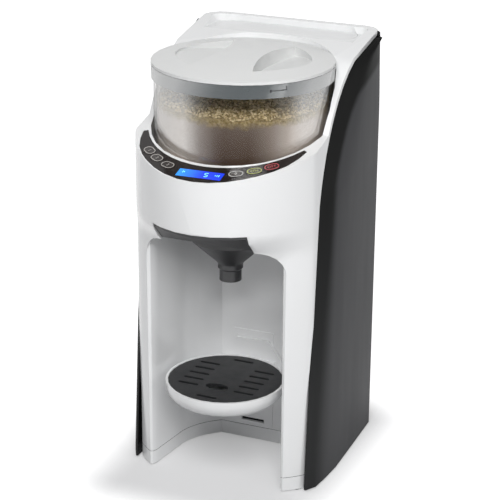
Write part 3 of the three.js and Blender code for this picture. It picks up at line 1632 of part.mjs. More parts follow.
function hoseHeaterNozzle() {
  const start = [heaterX, heaterY, heaterLow + heaterHeight + heaterCap + nippleLength + seatGap];
  const nozzleTop = plateTopZ + nozzleFlange + seatGap;
  const bend = 5 * hoseRadius;
  const over = gearLowZ + gearThick / 2;
  const end = [nozzleX, nozzleY, nozzleTop];
  const rise = (over - start[2]) / 3;
  return tube([start, [start[0], start[1], start[2] + rise], [start[0], start[1] - bend / 4, over - rise],
    [start[0] + hoseRadius, start[1] - bend, over], [nozzleX - bend / 2, nozzleY + bend, over + hoseRadius],
    [nozzleX, nozzleY, nozzleTop + 2 * hoseRadius], end], hoseRadius);
}

function waterNozzle() {
  const low = chinZ - nozzleDrop + coverTop;
  const flangeLow = ceilingZ + seatGap;
  return rod(nozzleRadius, chinZ + seatGap, flangeLow, nozzleX, nozzleY)
    .add(rod(nozzleFlange, flangeLow, flangeLow + portWall, nozzleX, nozzleY))
    .add(rod(hoseRadius, flangeLow, plateTopZ + nozzleFlange, nozzleX, nozzleY))
    .subtract(rod(nozzleBore, low - cutOver, flangeLow + portWall, nozzleX, nozzleY));
}

function mainBoard() {
  const back = chassisY - seatGap;
  const sheet = block(boardLeft, boardLeft + boardWidth, back - boardThick, back,
    boardLow, boardLow + boardHeight);
  const parts = boardPartShares.map(([x0, z0, x1, z1]) => block(
    boardLeft + boardWidth * x0, boardLeft + boardWidth * x1, back - boardThick - boardPartDepth, back,
    boardLow + boardHeight * z0, boardLow + boardHeight * z1));
  return joined([sheet, ...parts]);
}

function powerInlet() {
  const left = inletX - inletWidth / 2;
  const right = inletX + inletWidth / 2;
  const high = inletLow + inletHeight;
  const front = rearY - inletDepth;
  const shell = block(left, right, front, rearY, inletLow, high)
    .subtract(block(left + inletWall, right - inletWall, front + inletWall, rearY + cutOver,
      inletLow + inletWall, high - inletWall));
  const pins = [-1, 1].map((side) => {
    const x = inletX + side * inletWidth / 5;
    const z = inletLow + inletHeight / 2;
    return block(x - inletPinThick / 2, x + inletPinThick / 2, front + inletWall / 2, rearY - 2 * inletWall,
      z - inletPinWidth / 2, z + inletPinWidth / 2);
  });
  return joined([shell, ...pins]);
}

// The whole machine
const machine = new THREE.Group();

function add(name, solid, look) {
  const mesh = new THREE.Mesh(geometryOf(solid), look());
  mesh.name = name;
  machine.add(mesh);
}

add('front_housing', frontHousing(), looks.white);
add('base_tray', baseTray(), looks.white);
add('side_panel_left', sidePanel(-1), looks.charcoal);
add('side_panel_right', sidePanel(1), looks.charcoal);
add('rear_cover', rearCover(), looks.charcoal);
add('control_panel', controlPanel(), looks.gloss);
add('display_window', displayWindow(), looks.screen);
keyAngles.forEach((angle, i) => add(`key_${i + 1}`, key(angle), looks.keyGrey));
add('panel_board', panelBoard(), looks.board);

add('hopper', hopper(), looks.clear);
add('dosing_wheel', dosingWheel(), looks.nylon);
add('dosing_scraper', dosingScraper(), looks.nylon);
add('stirrer', stirrer(), looks.nylon);
add('hopper_lid', hopperLid(), looks.lidWhite);
add('lid_ring', lidRing(), looks.ringBlue);
add('lid_seal', lidSeal(), looks.seal);

add('drive_gear', driveGear(), looks.nylon);
add('drive_bearing', driveBearing(), looks.nylon);
add('idler_gear', idlerGear(), looks.nylon);
add('idler_pin', idlerPin(), looks.steel);
add('motor_pinion', motorPinion(), looks.steel);
add('gear_plate', gearPlate(), looks.steel);
add('drive_motor', driveMotor(), looks.steel);
add('powder_chute', powderChute(), looks.nylon);

add('funnel_cover', funnelCover(), looks.funnelGrey);
add('funnel', funnel(), looks.funnelGrey);
add('funnel_rail_left', funnelRail(-1), looks.charcoal);
add('funnel_rail_right', funnelRail(1), looks.charcoal);
add('drip_tray', dripTray(), looks.white);
add('tray_grate', trayGrate(), looks.grate);

add('tank', tank(), looks.smoke);
add('tank_lid', tankLid(), looks.white);
add('tank_filter', tankFilter(), looks.nylon);
add('tank_dock', tankDock(), looks.charcoal);
add('port_seal', portSeal(), looks.seal);

add('chassis_plate', chassisPlate(), looks.steel);
add('pump', pump(), looks.funnelGrey);
add('heater', heater(), looks.steel);
add('water_nozzle', waterNozzle(), looks.nylon);
add('main_board', mainBoard(), looks.board);
add('power_inlet', powerInlet(), looks.charcoal);
add('hose_tank_pump', hoseTankPump(), looks.seal);
add('hose_pump_heater', hosePumpHeater(), looks.seal);
add('hose_heater_nozzle', hoseHeaterNozzle(), looks.seal);

footPlaces().forEach(([x, y], i) => add(`foot_${i + 1}`, foot(x, y), looks.rubber));
screwPlaces().forEach(([x, y], i) => add(`base_screw_${i + 1}`, baseScrew(x, y), looks.steel));

export default machine;
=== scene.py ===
# %% [markdown]
# # A baby formula maker, dressed over its CAD frame
#
# The solids come from the CAD model, which gives every moving piece its body. This lesson loads
# that frame, sets a studio round it, mixes the finishes, and then dresses each piece in turn.
# Everything is in metres, the front faces -Y and +Z is up.

import json
import math

import bmesh
import bpy
from mathutils import Matrix, Vector
from mathutils.bvhtree import BVHTree

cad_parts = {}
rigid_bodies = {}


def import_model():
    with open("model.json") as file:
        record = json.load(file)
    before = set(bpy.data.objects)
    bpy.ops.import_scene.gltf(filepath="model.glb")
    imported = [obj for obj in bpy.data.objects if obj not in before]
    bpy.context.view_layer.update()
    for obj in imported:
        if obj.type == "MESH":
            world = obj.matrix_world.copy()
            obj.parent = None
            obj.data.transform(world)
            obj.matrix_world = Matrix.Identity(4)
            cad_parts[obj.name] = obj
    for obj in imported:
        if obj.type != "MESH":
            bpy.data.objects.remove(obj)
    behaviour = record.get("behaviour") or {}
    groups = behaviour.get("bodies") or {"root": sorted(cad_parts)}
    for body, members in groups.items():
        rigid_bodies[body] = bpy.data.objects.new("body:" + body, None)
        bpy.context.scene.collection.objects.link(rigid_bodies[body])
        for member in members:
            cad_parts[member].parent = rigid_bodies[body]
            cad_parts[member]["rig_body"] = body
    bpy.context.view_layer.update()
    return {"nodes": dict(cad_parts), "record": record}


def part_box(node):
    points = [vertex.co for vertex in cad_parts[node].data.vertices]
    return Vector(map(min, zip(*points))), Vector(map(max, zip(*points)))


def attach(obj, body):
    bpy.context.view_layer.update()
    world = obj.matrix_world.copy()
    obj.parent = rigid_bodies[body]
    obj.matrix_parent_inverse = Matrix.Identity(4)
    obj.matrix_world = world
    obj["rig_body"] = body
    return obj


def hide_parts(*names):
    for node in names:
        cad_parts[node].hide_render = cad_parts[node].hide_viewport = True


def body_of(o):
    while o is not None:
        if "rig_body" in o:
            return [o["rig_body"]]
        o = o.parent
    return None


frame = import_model()
MM = 0.001
scene = bpy.context.scene

# %% [markdown]
# ## Reading the frame
#
# The record says which material slot each CAD node takes. Keeping that list here lets a later
# cell give every node a finish with one loop, and lets a piece that stands for a node take the
# same finish.

# %% Slots, bodies and boxes of the nodes
SLOT_OF = {entry["node"]: entry["material_slot"] for entry in frame["record"]["subparts"]}


def rides_on(node):
    """The CAD body that carries a node."""
    return body_of(frame["nodes"][node])[0]


def corners(node):
    """A node's lowest and highest corner."""
    low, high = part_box(node)
    return Vector(low), Vector(high)


print(len(SLOT_OF), "nodes,", len(set(SLOT_OF.values())), "slots")

# %% [markdown]
# ## Camera
#
# The machine was seen from its right front, a little from above, through a long lens. The
# camera is placed first, because every later choice is judged in its picture. A small roll is
# added by turning the camera's own axes, since the horizon of the picture is not quite level.

# %% Camera
CAMERA_AT = Vector((0.5795, -1.3556, 0.7438))
CAMERA_LOOKS_AT = Vector((-0.06413, 0.1619, 0.13378))
CAMERA_ROLL = math.radians(0.43)
LENS = 126.04
SENSOR_WIDTH = 36
FARTHEST_SEEN = 50


def studio_camera():
    ahead = (CAMERA_LOOKS_AT - CAMERA_AT).normalized()
    level = ahead.cross(Vector((0, 0, 1))).normalized()
    upright = level.cross(ahead)
    right = level * math.cos(CAMERA_ROLL) + upright * math.sin(CAMERA_ROLL)
    up = upright * math.cos(CAMERA_ROLL) - level * math.sin(CAMERA_ROLL)
    turn = Matrix((right, up, -ahead)).transposed().to_4x4()
    data = bpy.data.cameras.new("studio_camera")
    data.lens = LENS
    data.sensor_width = SENSOR_WIDTH
    data.clip_end = FARTHEST_SEEN
    camera = bpy.data.objects.new("studio_camera", data)
    scene.collection.objects.link(camera)
    camera.matrix_world = Matrix.Translation(CAMERA_AT) @ turn
    scene.camera = camera


studio_camera()
scene.view_settings.view_transform = "Standard"
print("camera is", round((CAMERA_LOOKS_AT - CAMERA_AT).length, 2), "m from its target point")

# %% [markdown]
# ## Building node trees
#
# The studio and every finish are node trees. A node is easiest to read as one line that says
# its kind and its inputs, so one helper makes a node from that, and the others build on it.

# %% A node in one line
def node_of(tree, kind, inputs=None, **settings):
    """A new node's outputs. Inputs are values or sockets, by the socket's name or number."""
    node = tree.nodes.new(kind)
    for name, value in settings.items():
        setattr(node, name, value)
    for name, value in (inputs or {}).items():
        if isinstance(value, bpy.types.NodeSocket):
            tree.links.new(value, node.inputs[name])
        else:
            node.inputs[name].default_value = value
    return node.outputs


def math_node(tree, kind, operation, *values):
    """A Math or VectorMath node, with its inputs in their order."""
    return node_of(tree, "ShaderNode" + kind, dict(enumerate(values)), operation=operation)


def spread(tree, value, low, high, start=0.3, end=0.7, way="LINEAR"):
    """Maps a value that goes from start to end onto low to high."""
    inputs = {"Value": value, "From Min": start, "From Max": end, "To Min": low, "To Max": high}
    return node_of(tree, "ShaderNodeMapRange", inputs, interpolation_type=way)[0]


def blank_material(name):
    """A material, its empty tree, and object coordinates in that tree."""
    material = bpy.data.materials.new(name)
    material.use_nodes = True
    tree = material.node_tree
    tree.nodes.clear()
    return material, tree, node_of(tree, "ShaderNodeTexCoord")["Object"]


def set_surface(tree, shader):
    node_of(tree, "ShaderNodeOutputMaterial", {"Surface": shader})


print("helpers: node_of, math_node, spread, blank_material, set_surface")

# %% [markdown]
# ## Studio
#
# White plastic looks white only if it has something pale to mirror and no lamp burns it out.
# The world is white to the camera and weaker as a light, so the object keeps its shading. In
# reflections it is white too, but for a dim patch on the photographer's side, where a real
# studio is dark: that patch gives glossy pieces their deep middle. The patch is a cone about
# one fixed direction, and its core and rim are cosines of the angle from that direction.

# %% World
WHITE = (1, 1, 1, 1)
DAYLIGHT = (0.97, 0.985, 1, 1)
WORLD_LIGHT = 0.17
DIM_PATCH = 0.22
PATCH_CORE = 0.93
PATCH_RIM = 0.62


def white_to_the_eye(tree):
    """1 on rays that see the surroundings: camera, glossy and transmitted rays."""
    ray = node_of(tree, "ShaderNodeLightPath")
    straight = math_node(tree, "Math", "MAXIMUM", ray["Is Camera Ray"], ray["Is Glossy Ray"])[0]
    return math_node(tree, "Math", "MAXIMUM", straight, ray["Is Transmission Ray"])[0]


def mirrored_studio(tree):
    """How bright the studio is in a mirror: white, with the dim patch in front."""
    outward = node_of(tree, "ShaderNodeTexCoord")["Generated"]
    front = (CAMERA_AT - CAMERA_LOOKS_AT).normalized()
    facing = math_node(tree, "VectorMath", "DOT_PRODUCT", outward, front)["Value"]
    patch = spread(tree, facing, 1.0, DIM_PATCH, PATCH_RIM, PATCH_CORE, "SMOOTHSTEP")
    glossy = node_of(tree, "ShaderNodeLightPath")["Is Glossy Ray"]
    return node_of(tree, "ShaderNodeMix", {0: glossy, 2: 1.0, 3: patch})[0]


def studio_world():
    world = bpy.data.worlds.new("studio_world")
    world.use_nodes = True
    tree = world.node_tree
    tree.nodes.clear()
    mirrored = mirrored_studio(tree)
    seen = node_of(tree, "ShaderNodeBackground", {"Color": WHITE, "Strength": mirrored})[0]
    light = node_of(tree, "ShaderNodeBackground", {"Color": DAYLIGHT, "Strength": WORLD_LIGHT})[0]
    inputs = {0: white_to_the_eye(tree), 1: light, 2: seen}
    both = node_of(tree, "ShaderNodeMixShader", inputs)[0]
    node_of(tree, "ShaderNodeOutputWorld", {"Surface": both})
    scene.world = world


studio_world()
print("world lights at", WORLD_LIGHT)

# %% [markdown]
# ## Floor
#
# The floor is a matt sheet with a glow of its own, which only the rays that see the
# surroundings find. The glow is weakest under the object and grows with the distance outside
# its footprint, so the shadow by the object is kept and the rest of the floor fades to white.
# The weak glow under the object is painted shadow, which deepens the real shadow there.

# %% Floor
FLOOR_SIZE = 12.0
FLOOR_GREY = (0.5, 0.5, 0.507, 1)
# Low glow near the object: painted shadow on the floor under it.
FLOOR_GLOW_NEAR = 0.28
FLOOR_GLOW_FAR = 1.0
FOOTPRINT_HALVES = (0.072, 0.1, 1.0)
FLOOR_FADE_END = 0.075


def distance_outside(tree, place, halves):
    """How far a place lies outside a box about the origin, given by its half sizes."""
    mirrored = math_node(tree, "VectorMath", "ABSOLUTE", place)[0]
    past = math_node(tree, "VectorMath", "SUBTRACT", mirrored, halves)[0]
    outside = math_node(tree, "VectorMath", "MAXIMUM", past, (0, 0, 0))[0]
    return math_node(tree, "VectorMath", "LENGTH", outside)["Value"]


def floor_finish():
    material, tree, place = blank_material("pale_floor")
    outside = distance_outside(tree, place, FOOTPRINT_HALVES)
    ends = FLOOR_GLOW_NEAR, FLOOR_GLOW_FAR
    fade = spread(tree, outside, *ends, 0.0, FLOOR_FADE_END, "SMOOTHSTEP")
    seen = math_node(tree, "Math", "MULTIPLY", white_to_the_eye(tree), fade)[0]
    glow = node_of(tree, "ShaderNodeEmission", {"Strength": seen})[0]
    matt = node_of(tree, "ShaderNodeBsdfDiffuse", {"Color": FLOOR_GREY})[0]
    set_surface(tree, node_of(tree, "ShaderNodeAddShader", {0: glow, 1: matt})[0])
    return material


def studio_floor():
    mesh = bpy.data.meshes.new("floor")
    half = FLOOR_SIZE / 2
    rim = [(-half, -half, 0), (half, -half, 0), (half, half, 0), (-half, half, 0)]
    mesh.from_pydata(rim, [], [(0, 1, 2, 3)])
    mesh.materials.append(floor_finish())
    floor = bpy.data.objects.new("floor", mesh)
    scene.collection.objects.link(floor)


studio_floor()
print("floor is", FLOOR_SIZE, "m across")

# %% [markdown]
# ## Lamps
#
# One broad softbox high in front lights the shell, one overhead lights the lid, and a tall
# narrow one at the right draws the upright streak that shows on the hopper's side and on the
# legs. Each is aimed at a point on the object, which is easier to judge than angles.

# %% Lamps, each with its place, its target, its width and height, and its power
LAMPS = {
    "front_box": ((0.45, -1.3, 1.45), (0, -0.05, 0.2), 1.0, 0.9, 28.5),
    "top_box": ((-0.2, 0.25, 1.5), (0, 0, 0.3), 0.9, 0.9, 1.2),
    "right_strip": ((1.15, -0.55, 0.45), (0, 0, 0.2), 0.5, 1.0, 2.6),
}


def lamp(name, at, target, width, height, power):
    data = bpy.data.lights.new(name, "AREA")
    data.shape = "RECTANGLE"
    data.size = width
    data.size_y = height
    data.energy = power
    thing = bpy.data.objects.new(name, data)
    scene.collection.objects.link(thing)
    thing.location = at
    aim = (Vector(target) - Vector(at)).to_track_quat("-Z", "Y")
    thing.rotation_mode = "QUATERNION"
    thing.rotation_quaternion = aim


for name, (at, target, width, height, power) in LAMPS.items():
    lamp(name, at, target, width, height, power)
print("lamps:", ", ".join(LAMPS))

# %% [markdown]
# ## Finishes
#
# Most of the machine is injection-moulded plastic: an even colour under a thin gloss, with a
# grain too fine to see as a shape. A moulding could be one flat shader, but real ones are
# handled, so each finish here lets its colour drift a little, its roughness be patchy and its
# surface carry a faint grain. One function mixes them all, and the pieces differ by numbers.

# %% Helpers for colour and grain
MIX_COLOURS = (6, 7)
MIX_RESULT = 2


def noise(tree, place, scale, detail=3.0, stretch=None):
    """A noise value on object coordinates, optionally stretched along one axis."""
    if stretch:
        place = node_of(tree, "ShaderNodeMapping", {"Vector": place, "Scale": stretch})[0]
    inputs = {"Vector": place, "Scale": scale, "Detail": detail}
    return node_of(tree, "ShaderNodeTexNoise", inputs)[0]


def blend_colours(tree, value, first, second):
    """A colour between two, each given as numbers or as a socket."""
    inputs = {0: value}
    for socket, colour in zip(MIX_COLOURS, (first, second)):
        made = isinstance(colour, bpy.types.NodeSocket)
        inputs[socket] = colour if made else (*colour, 1)
    return node_of(tree, "ShaderNodeMix", inputs, data_type="RGBA")[MIX_RESULT]


def bump(tree, value, depth, strength=1.0):
    inputs = {"Height": value, "Distance": depth, "Strength": strength}
    return node_of(tree, "ShaderNodeBump", inputs)[0]


def principled(tree, inputs):
    return node_of(tree, "ShaderNodeBsdfPrincipled", inputs)[0]


print("helpers: noise, blend_colours, bump, principled")

# %% One function for moulded finishes
FINISH = {}
PATCHES_PER_M = 14
WIPES_PER_M = 90
WIPED_UPRIGHT = (1, 1, 0.12)
FINE_GRAIN = 0.02 * MM


def moulded(
    name, colour, rough, drift=0.04, grain=600, grain_depth=FINE_GRAIN, sockets=None, scuff=0.06
):
    """A moulded finish. drift is how far the colour wanders, grain the fineness of the bump."""
    material, tree, place = blank_material(name)
    patches = spread(tree, noise(tree, place, PATCHES_PER_M, 4), 0.0, 1.0)
    dulled = tuple(c * (1 - drift) for c in colour)
    streaks = noise(tree, place, WIPES_PER_M, 5, WIPED_UPRIGHT)
    inputs = {
        "Base Color": blend_colours(tree, patches, colour, dulled),
        "Roughness": spread(tree, streaks, rough * 0.9, rough + scuff, 0.35, 0.8),
        "Normal": bump(tree, noise(tree, place, grain, 2), grain_depth),
        **(sockets or {}),
    }
    set_surface(tree, principled(tree, inputs))
    FINISH[name] = material
    return material


THIN_COAT = {"Coat Weight": 0.25, "Coat Roughness": 0.06}
DULL = {"Specular IOR Level": 0.22}
moulded("white_plastic", (0.825, 0.83, 0.834), 0.2, 0.02, sockets=THIN_COAT)
moulded("charcoal_plastic", (0.05, 0.051, 0.054), 0.46, 0.1, 900, 0.04 * MM, DULL)
moulded("gloss_black", (0.011, 0.007, 0.006), 0.12, 0.1, sockets={"Specular IOR Level": 0.24})
moulded("key_print", (0.02, 0.014, 0.012), 0.25, 0.1)
moulded("board_green", (0.02, 0.11, 0.05), 0.45, 0.2)
moulded("lid_plastic", (0.73, 0.735, 0.73), 0.32, 0.02, 700, 0.03 * MM)
moulded("seal_rubber", (0.5, 0.51, 0.49), 0.6, 0.06)
moulded("nylon", (0.72, 0.69, 0.6), 0.42, 0.05)
moulded("steel", (0.56, 0.57, 0.58), 0.26, 0.05, 1500, 0.01 * MM, {"Metallic": 1.0})
moulded("funnel_plastic", (0.034, 0.034, 0.036), 0.4, 0.08)
moulded("grate_plastic", (0.016, 0.0165, 0.018), 0.48, 0.15, 1100, 0.08 * MM)
moulded("foot_rubber", (0.03, 0.03, 0.03), 0.75, 0.15, 800, 0.06 * MM)
print(len(FINISH), "moulded finishes")

# %% [markdown]
# ## Clear finishes
#
# The hopper is clear, its lid ring is tinted and the tank is smoky. A refracting glass would
# be the textbook way, but it keeps the lamps from the powder behind it. A mix of a
# see-through shader with a gloss lets the light in. How much a wall mirrors is a curve of how
# far it turns from the eye. It is drawn from listed stops, because a Fresnel node turns its value
# over on the back faces of a wall, and puts black and white bands there.

# %% One function for clear walls
GLOSS_TINT = (0.97, 0.965, 0.96, 1)
CLOUD_PALER = 1.08
EDGE_ON = (0.72, 1.0)
RIPPLE_DEPTH = 0.2 * MM


def curve_of(tree, value, stops):
    """A value passed through a curve of (place, height) stops."""
    ramp = tree.nodes.new("ShaderNodeValToRGB")
    points = ramp.color_ramp.elements
    while len(points) < len(stops):
        points.new(0.5)
    for point, (place, height) in zip(points, stops):
        point.position = place
        point.color = (height, height, height, 1)
    tree.links.new(value, ramp.inputs[0])
    return ramp.outputs[0]


def cloudy_body(tree, place, colour, haze):
    """The body colour of a tinted wall, slightly uneven."""
    cloudy = spread(tree, noise(tree, place, 30, 3), 0.0, 1.0)
    paler = tuple(min(1.0, c * CLOUD_PALER) for c in colour)
    inputs = {
        "Base Color": blend_colours(tree, cloudy, colour, paler),
        "Roughness": haze,
        "Specular IOR Level": 0.1,
    }
    return principled(tree, inputs)


def mixed(tree, share, first, second):
    """Two shaders mixed by a share, given as a number or as a socket."""
    return node_of(tree, "ShaderNodeMixShader", {0: share, 1: first, 2: second})[0]


def clear_finish(name, tint, edge_tint, mirror, rough, milk=0.0, milk_colour=None):
    """A see-through wall. mirror is the curve of its gloss, milk the share of body colour."""
    material, tree, place = blank_material(name)
    facing = node_of(tree, "ShaderNodeLayerWeight", {"Blend": 0.5})["Facing"]
    edge = spread(tree, facing, 0.0, 1.0, *EDGE_ON)
    through = blend_colours(tree, edge, tint, edge_tint)
    wall = node_of(tree, "ShaderNodeBsdfTransparent", {"Color": through})[0]
    haze = spread(tree, noise(tree, place, 60, 4), rough, rough + 0.03)
    ripple = bump(tree, noise(tree, place, 40, 2), RIPPLE_DEPTH, 0.2)
    inputs = {"Color": GLOSS_TINT, "Roughness": haze, "Normal": ripple}
    gloss = node_of(tree, "ShaderNodeBsdfAnisotropic", inputs)[0]
    if milk:
        wall = mixed(tree, milk, wall, cloudy_body(tree, place, milk_colour, haze))
    set_surface(tree, mixed(tree, curve_of(tree, facing, mirror), wall, gloss))
    FINISH[name] = material


print("clear walls have a curve of gloss")

# %% Clear finishes, with (turn from the eye, share of gloss) stops
HOPPER_SHEEN = [(0.0, 0.003), (0.1, 0.006), (0.18, 0.04), (0.3, 0.2), (0.5, 0.24), (0.95, 0.3)]
RING_SHEEN = [(0.0, 0.02), (0.08, 0.06), (0.2, 0.2), (0.35, 0.34), (0.7, 0.42), (1.0, 0.3)]
TANK_SHEEN = [(0.0, 0.03), (0.3, 0.06), (0.7, 0.2), (1.0, 0.5)]
RING_MILK = (0.075, 0.09, 0.095)
TANK_MILK = (0.06, 0.065, 0.07)
CLEAR, CLEAR_EDGE = (0.97, 0.968, 0.962), (0.5, 0.5, 0.5)
TINTED, TINTED_EDGE = (0.6, 0.66, 0.7), (0.3, 0.34, 0.37)
SMOKY, SMOKY_EDGE = (0.5, 0.53, 0.56), (0.2, 0.22, 0.24)
clear_finish("clear_plastic", CLEAR, CLEAR_EDGE, HOPPER_SHEEN, 0.09)
clear_finish("ring_plastic", TINTED, TINTED_EDGE, RING_SHEEN, 0.12, 0.75, RING_MILK)
clear_finish("smoke_plastic", SMOKY, SMOKY_EDGE, TANK_SHEEN, 0.05, 0.25, TANK_MILK)
print("clear finishes added:", len(FINISH), "in all")

# %% [markdown]
# ## Lit finishes and prints
#
# The display is lit from behind, so it gives light as well as mirroring some. Its glow falls
# off towards one end, as a small backlight does. The prints on the keys are inks: flat, a
# little rough, each with its own colour.

# %% Display and inks
GLOW_START = -19 * MM
GLOW_END = 4 * MM
SCREEN_UNLIT = (0.004, 0.02, 0.3, 1)
SCREEN_BRIGHT = (0.03, 0.42, 1.0)
SCREEN_DEEP = (0.006, 0.045, 0.92)
SCREEN_GLOW = 0.95
INK_GRAIN = 0.01 * MM


def along(tree, place, axis):
    """One coordinate of a place: X, Y or Z."""
    return node_of(tree, "ShaderNodeSeparateXYZ", {0: place})[axis]


def lit_screen():
    material, tree, place = blank_material("screen")
    across = spread(tree, along(tree, place, "X"), 0.0, 1.0, GLOW_START, GLOW_END)
    inputs = {
        "Base Color": SCREEN_UNLIT,
        "Emission Color": blend_colours(tree, across, SCREEN_BRIGHT, SCREEN_DEEP),
        "Emission Strength": SCREEN_GLOW,
        "Roughness": spread(tree, noise(tree, place, 120, 3), 0.1, 0.18),
        "Normal": bump(tree, noise(tree, place, 500, 2), INK_GRAIN),
    }
    set_surface(tree, principled(tree, inputs))
    FINISH["screen"] = material


def ink(name, colour, glow=0.0):
    """A flat print, which may give some light of its own."""
    material = moulded(name, colour, 0.45, 0.08, 1500, INK_GRAIN)
    if glow:
        for node in material.node_tree.nodes:
            if node.type == "BSDF_PRINCIPLED":
                node.inputs["Emission Color"].default_value = (*colour, 1)
                node.inputs["Emission Strength"].default_value = glow


lit_screen()
ink("ink_grey", (0.42, 0.4, 0.38))
ink("ink_pale", (0.6, 0.6, 0.58))
ink("ink_green", (0.5, 0.55, 0.16))
ink("ink_red", (0.55, 0.07, 0.09))
ink("ink_dark", (0.03, 0.03, 0.035))
ink("segment_cyan", (0.25, 0.85, 1.0), 0.9)
print("finishes in all:", len(FINISH))

# %% [markdown]
# ## Dressing the solids
#
# A CAD node arrives as loose triangles, so it shades flat. Where the form is already right, a
# copy with its doubles merged can shade smoothly up to the real edges, and stands for the
# node. The copy's corners stay at the CAD places. Weighted normals keep the broad faces calm
# beside the small ones that the cut-outs leave.

# %% A smooth copy of a node
SMOOTH_UP_TO = math.radians(34)
MERGE = 0.004 * MM
EVENNESS = 60
FLAT_SHADING = ("custom_normal", "sharp_face", "sharp_edge")


def copy_of(node):
    """The node's mesh with its doubles merged, as a new mesh."""
    mesh = frame["nodes"][node].data.copy()
    for name in [each.name for each in mesh.attributes if each.name in FLAT_SHADING]:
        mesh.attributes.remove(mesh.attributes[name])
    shape = bmesh.new()
    shape.from_mesh(mesh)
    bmesh.ops.remove_doubles(shape, verts=shape.verts, dist=MERGE)
    bmesh.ops.dissolve_degenerate(shape, edges=shape.edges, dist=MERGE / 2)
    shape.to_mesh(mesh)
    shape.free()
    mesh.materials.clear()
    return mesh


def piece_from(mesh, name, body, slot, *stands_for):
    """Links a finished mesh as a piece that rides on a body."""
    piece = bpy.data.objects.new(name, mesh)
    scene.collection.objects.link(piece)
    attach(piece, body)
    if stands_for:
        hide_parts(*stands_for)
    return piece


def dress(node, finish=None):
    """A smooth copy of a node in its slot's finish, or in another."""
    mesh = copy_of(node)
    mesh.materials.append(FINISH[finish or SLOT_OF[node]])
    mesh.shade_smooth()
    mesh.set_sharp_from_angle(angle=SMOOTH_UP_TO)
    piece = piece_from(mesh, node + "_skin", rides_on(node), SLOT_OF[node], node)
    even = piece.modifiers.new("even_shading", "WEIGHTED_NORMAL")
    even.keep_sharp = True
    even.weight = EVENNESS
    return piece


print("copies merge corners within", round(MERGE / MM, 3), "mm")

# %% [markdown]
# ## The shell and the base
#
# The white housing is one moulding that holds the bay, the chin and the deck, and the base
# tray continues it below a fine seam. Light gets into such a seam from both sides and would
# wash it out, so the level faces in it are painted dark as shade, and it reads as a line.

# %% White shell
SEAM_REACH = 0.3 * MM
LEVEL = 0.95
# The seam's level faces take this dark finish as painted shade in the gap.
moulded("seam_shade", (0.03, 0.031, 0.032), 0.7, 0.1)


def shade_seam(shell, level):
    """Gives the level faces in the seam a dark finish: painted shade."""
    mesh = shell.data
    mesh.materials.append(FINISH["seam_shade"])
    for face in mesh.polygons:
        if abs(face.normal.z) > LEVEL and abs(face.center.z - level) < SEAM_REACH:
            face.material_index = 1


for node in ("front_housing", "base_tray", "rear_cover", "tank_dock"):
    shell = dress(node)
    if node == "front_housing":
        shade_seam(shell, corners(node)[0].z)
    elif node == "base_tray":
        shade_seam(shell, corners(node)[1].z)
    print(node, "has", len(shell.data.polygons), "faces")

# %% [markdown]
# ## Side panels
#
# The dark panels turn near-black in a band that follows their S-shaped front edge. A gradient
# along one axis can't follow that curve. So each corner of the panel's mesh stores how far
# behind the edge it lies, and the finish reads that number.

# %% Distance behind the panel's front edge
SAME_LEVEL = 0.05 * MM
EDGE_SLACK = 1.0 * MM
NO_LENGTH = 1e-12


def front_edge(mesh):
    """The panel's front edge as (y, z) points: the foremost corner of each level."""
    foremost = {}
    for vertex in mesh.vertices:
        level = round(vertex.co.z / SAME_LEVEL)
        if level not in foremost or vertex.co.y < foremost[level].x:
            foremost[level] = Vector((vertex.co.y, vertex.co.z))
    line = [foremost[level] for level in sorted(foremost)]
    edge = [line[0]]
    for point in line[1:]:
        if point.x >= edge[-1].x - EDGE_SLACK:
            edge.append(point)
    return edge


def distance_to(line, point):
    """The least distance from a point to a line of many points."""
    gaps = []
    for a, b in zip(line, line[1:]):
        run = b - a
        share = (point - a).dot(run) / max(run.length_squared, NO_LENGTH)
        gaps.append((point - a - run * max(0.0, min(1.0, share))).length)
    return min(gaps)


print("levels within", round(SAME_LEVEL / MM, 2), "mm count as one")

# %% Side panels
BAND_START = (6 * MM, 19 * MM)
BAND_END = (36 * MM, 27 * MM)
BAND_HEIGHTS = (0.08, 0.3)
BAND_LOW = (0.032, 0.0325, 0.033)
BAND_HIGH = (0.007, 0.0072, 0.007)
PANEL_GREY = (0.062, 0.0625, 0.066)
PANEL_GRAIN = 0.04 * MM
PANEL_GLEAM = (0.03, 0.05)


def out_of_band(tree, height):
    """0 in the dark band and 1 behind it, soft at the foot and crisper near the top."""
    behind = node_of(tree, "ShaderNodeAttribute", attribute_name="behind_edge")["Fac"]
    start = spread(tree, height, *BAND_START, *BAND_HEIGHTS)
    end = spread(tree, height, *BAND_END, *BAND_HEIGHTS)
    return spread(tree, behind, 0.0, 1.0, start, end, "SMOOTHSTEP")


def banded_charcoal():
    """Charcoal that turns near-black within the band along the panel's front edge."""
    material = moulded("panel_plastic", PANEL_GREY, 0.5, 0.08, 900, PANEL_GRAIN, scuff=0.0)
    tree = material.node_tree
    shader = next(node for node in tree.nodes if node.type == "BSDF_PRINCIPLED")
    colour = shader.inputs["Base Color"].links[0].from_socket
    height = along(tree, tree.nodes.new("ShaderNodeTexCoord").outputs["Object"], "Z")
    up = spread(tree, height, 0, 1, *BAND_HEIGHTS)
    darkness = blend_colours(tree, up, BAND_LOW, BAND_HIGH)
    behind = out_of_band(tree, height)
    tree.links.new(blend_colours(tree, behind, darkness, colour), shader.inputs["Base Color"])
    gleam = spread(tree, behind, *PANEL_GLEAM, 0.0, 1.0)
    tree.links.new(gleam, shader.inputs["Specular IOR Level"])


def panel_with_band(node):
    """Dresses a panel, stores the distances on it, and says how many points its edge has."""
    panel = dress(node, "panel_plastic")
    mesh = panel.data
    edge = front_edge(mesh)
    band = mesh.attributes.new("behind_edge", "FLOAT", "POINT")
    for vertex, value in zip(mesh.vertices, band.data):
        value.value = distance_to(edge, Vector((vertex.co.y, vertex.co.z)))
    return len(edge)


banded_charcoal()
for side in ("left", "right"):
    print("side panel", side, "has", panel_with_band("side_panel_" + side), "points along its edge")

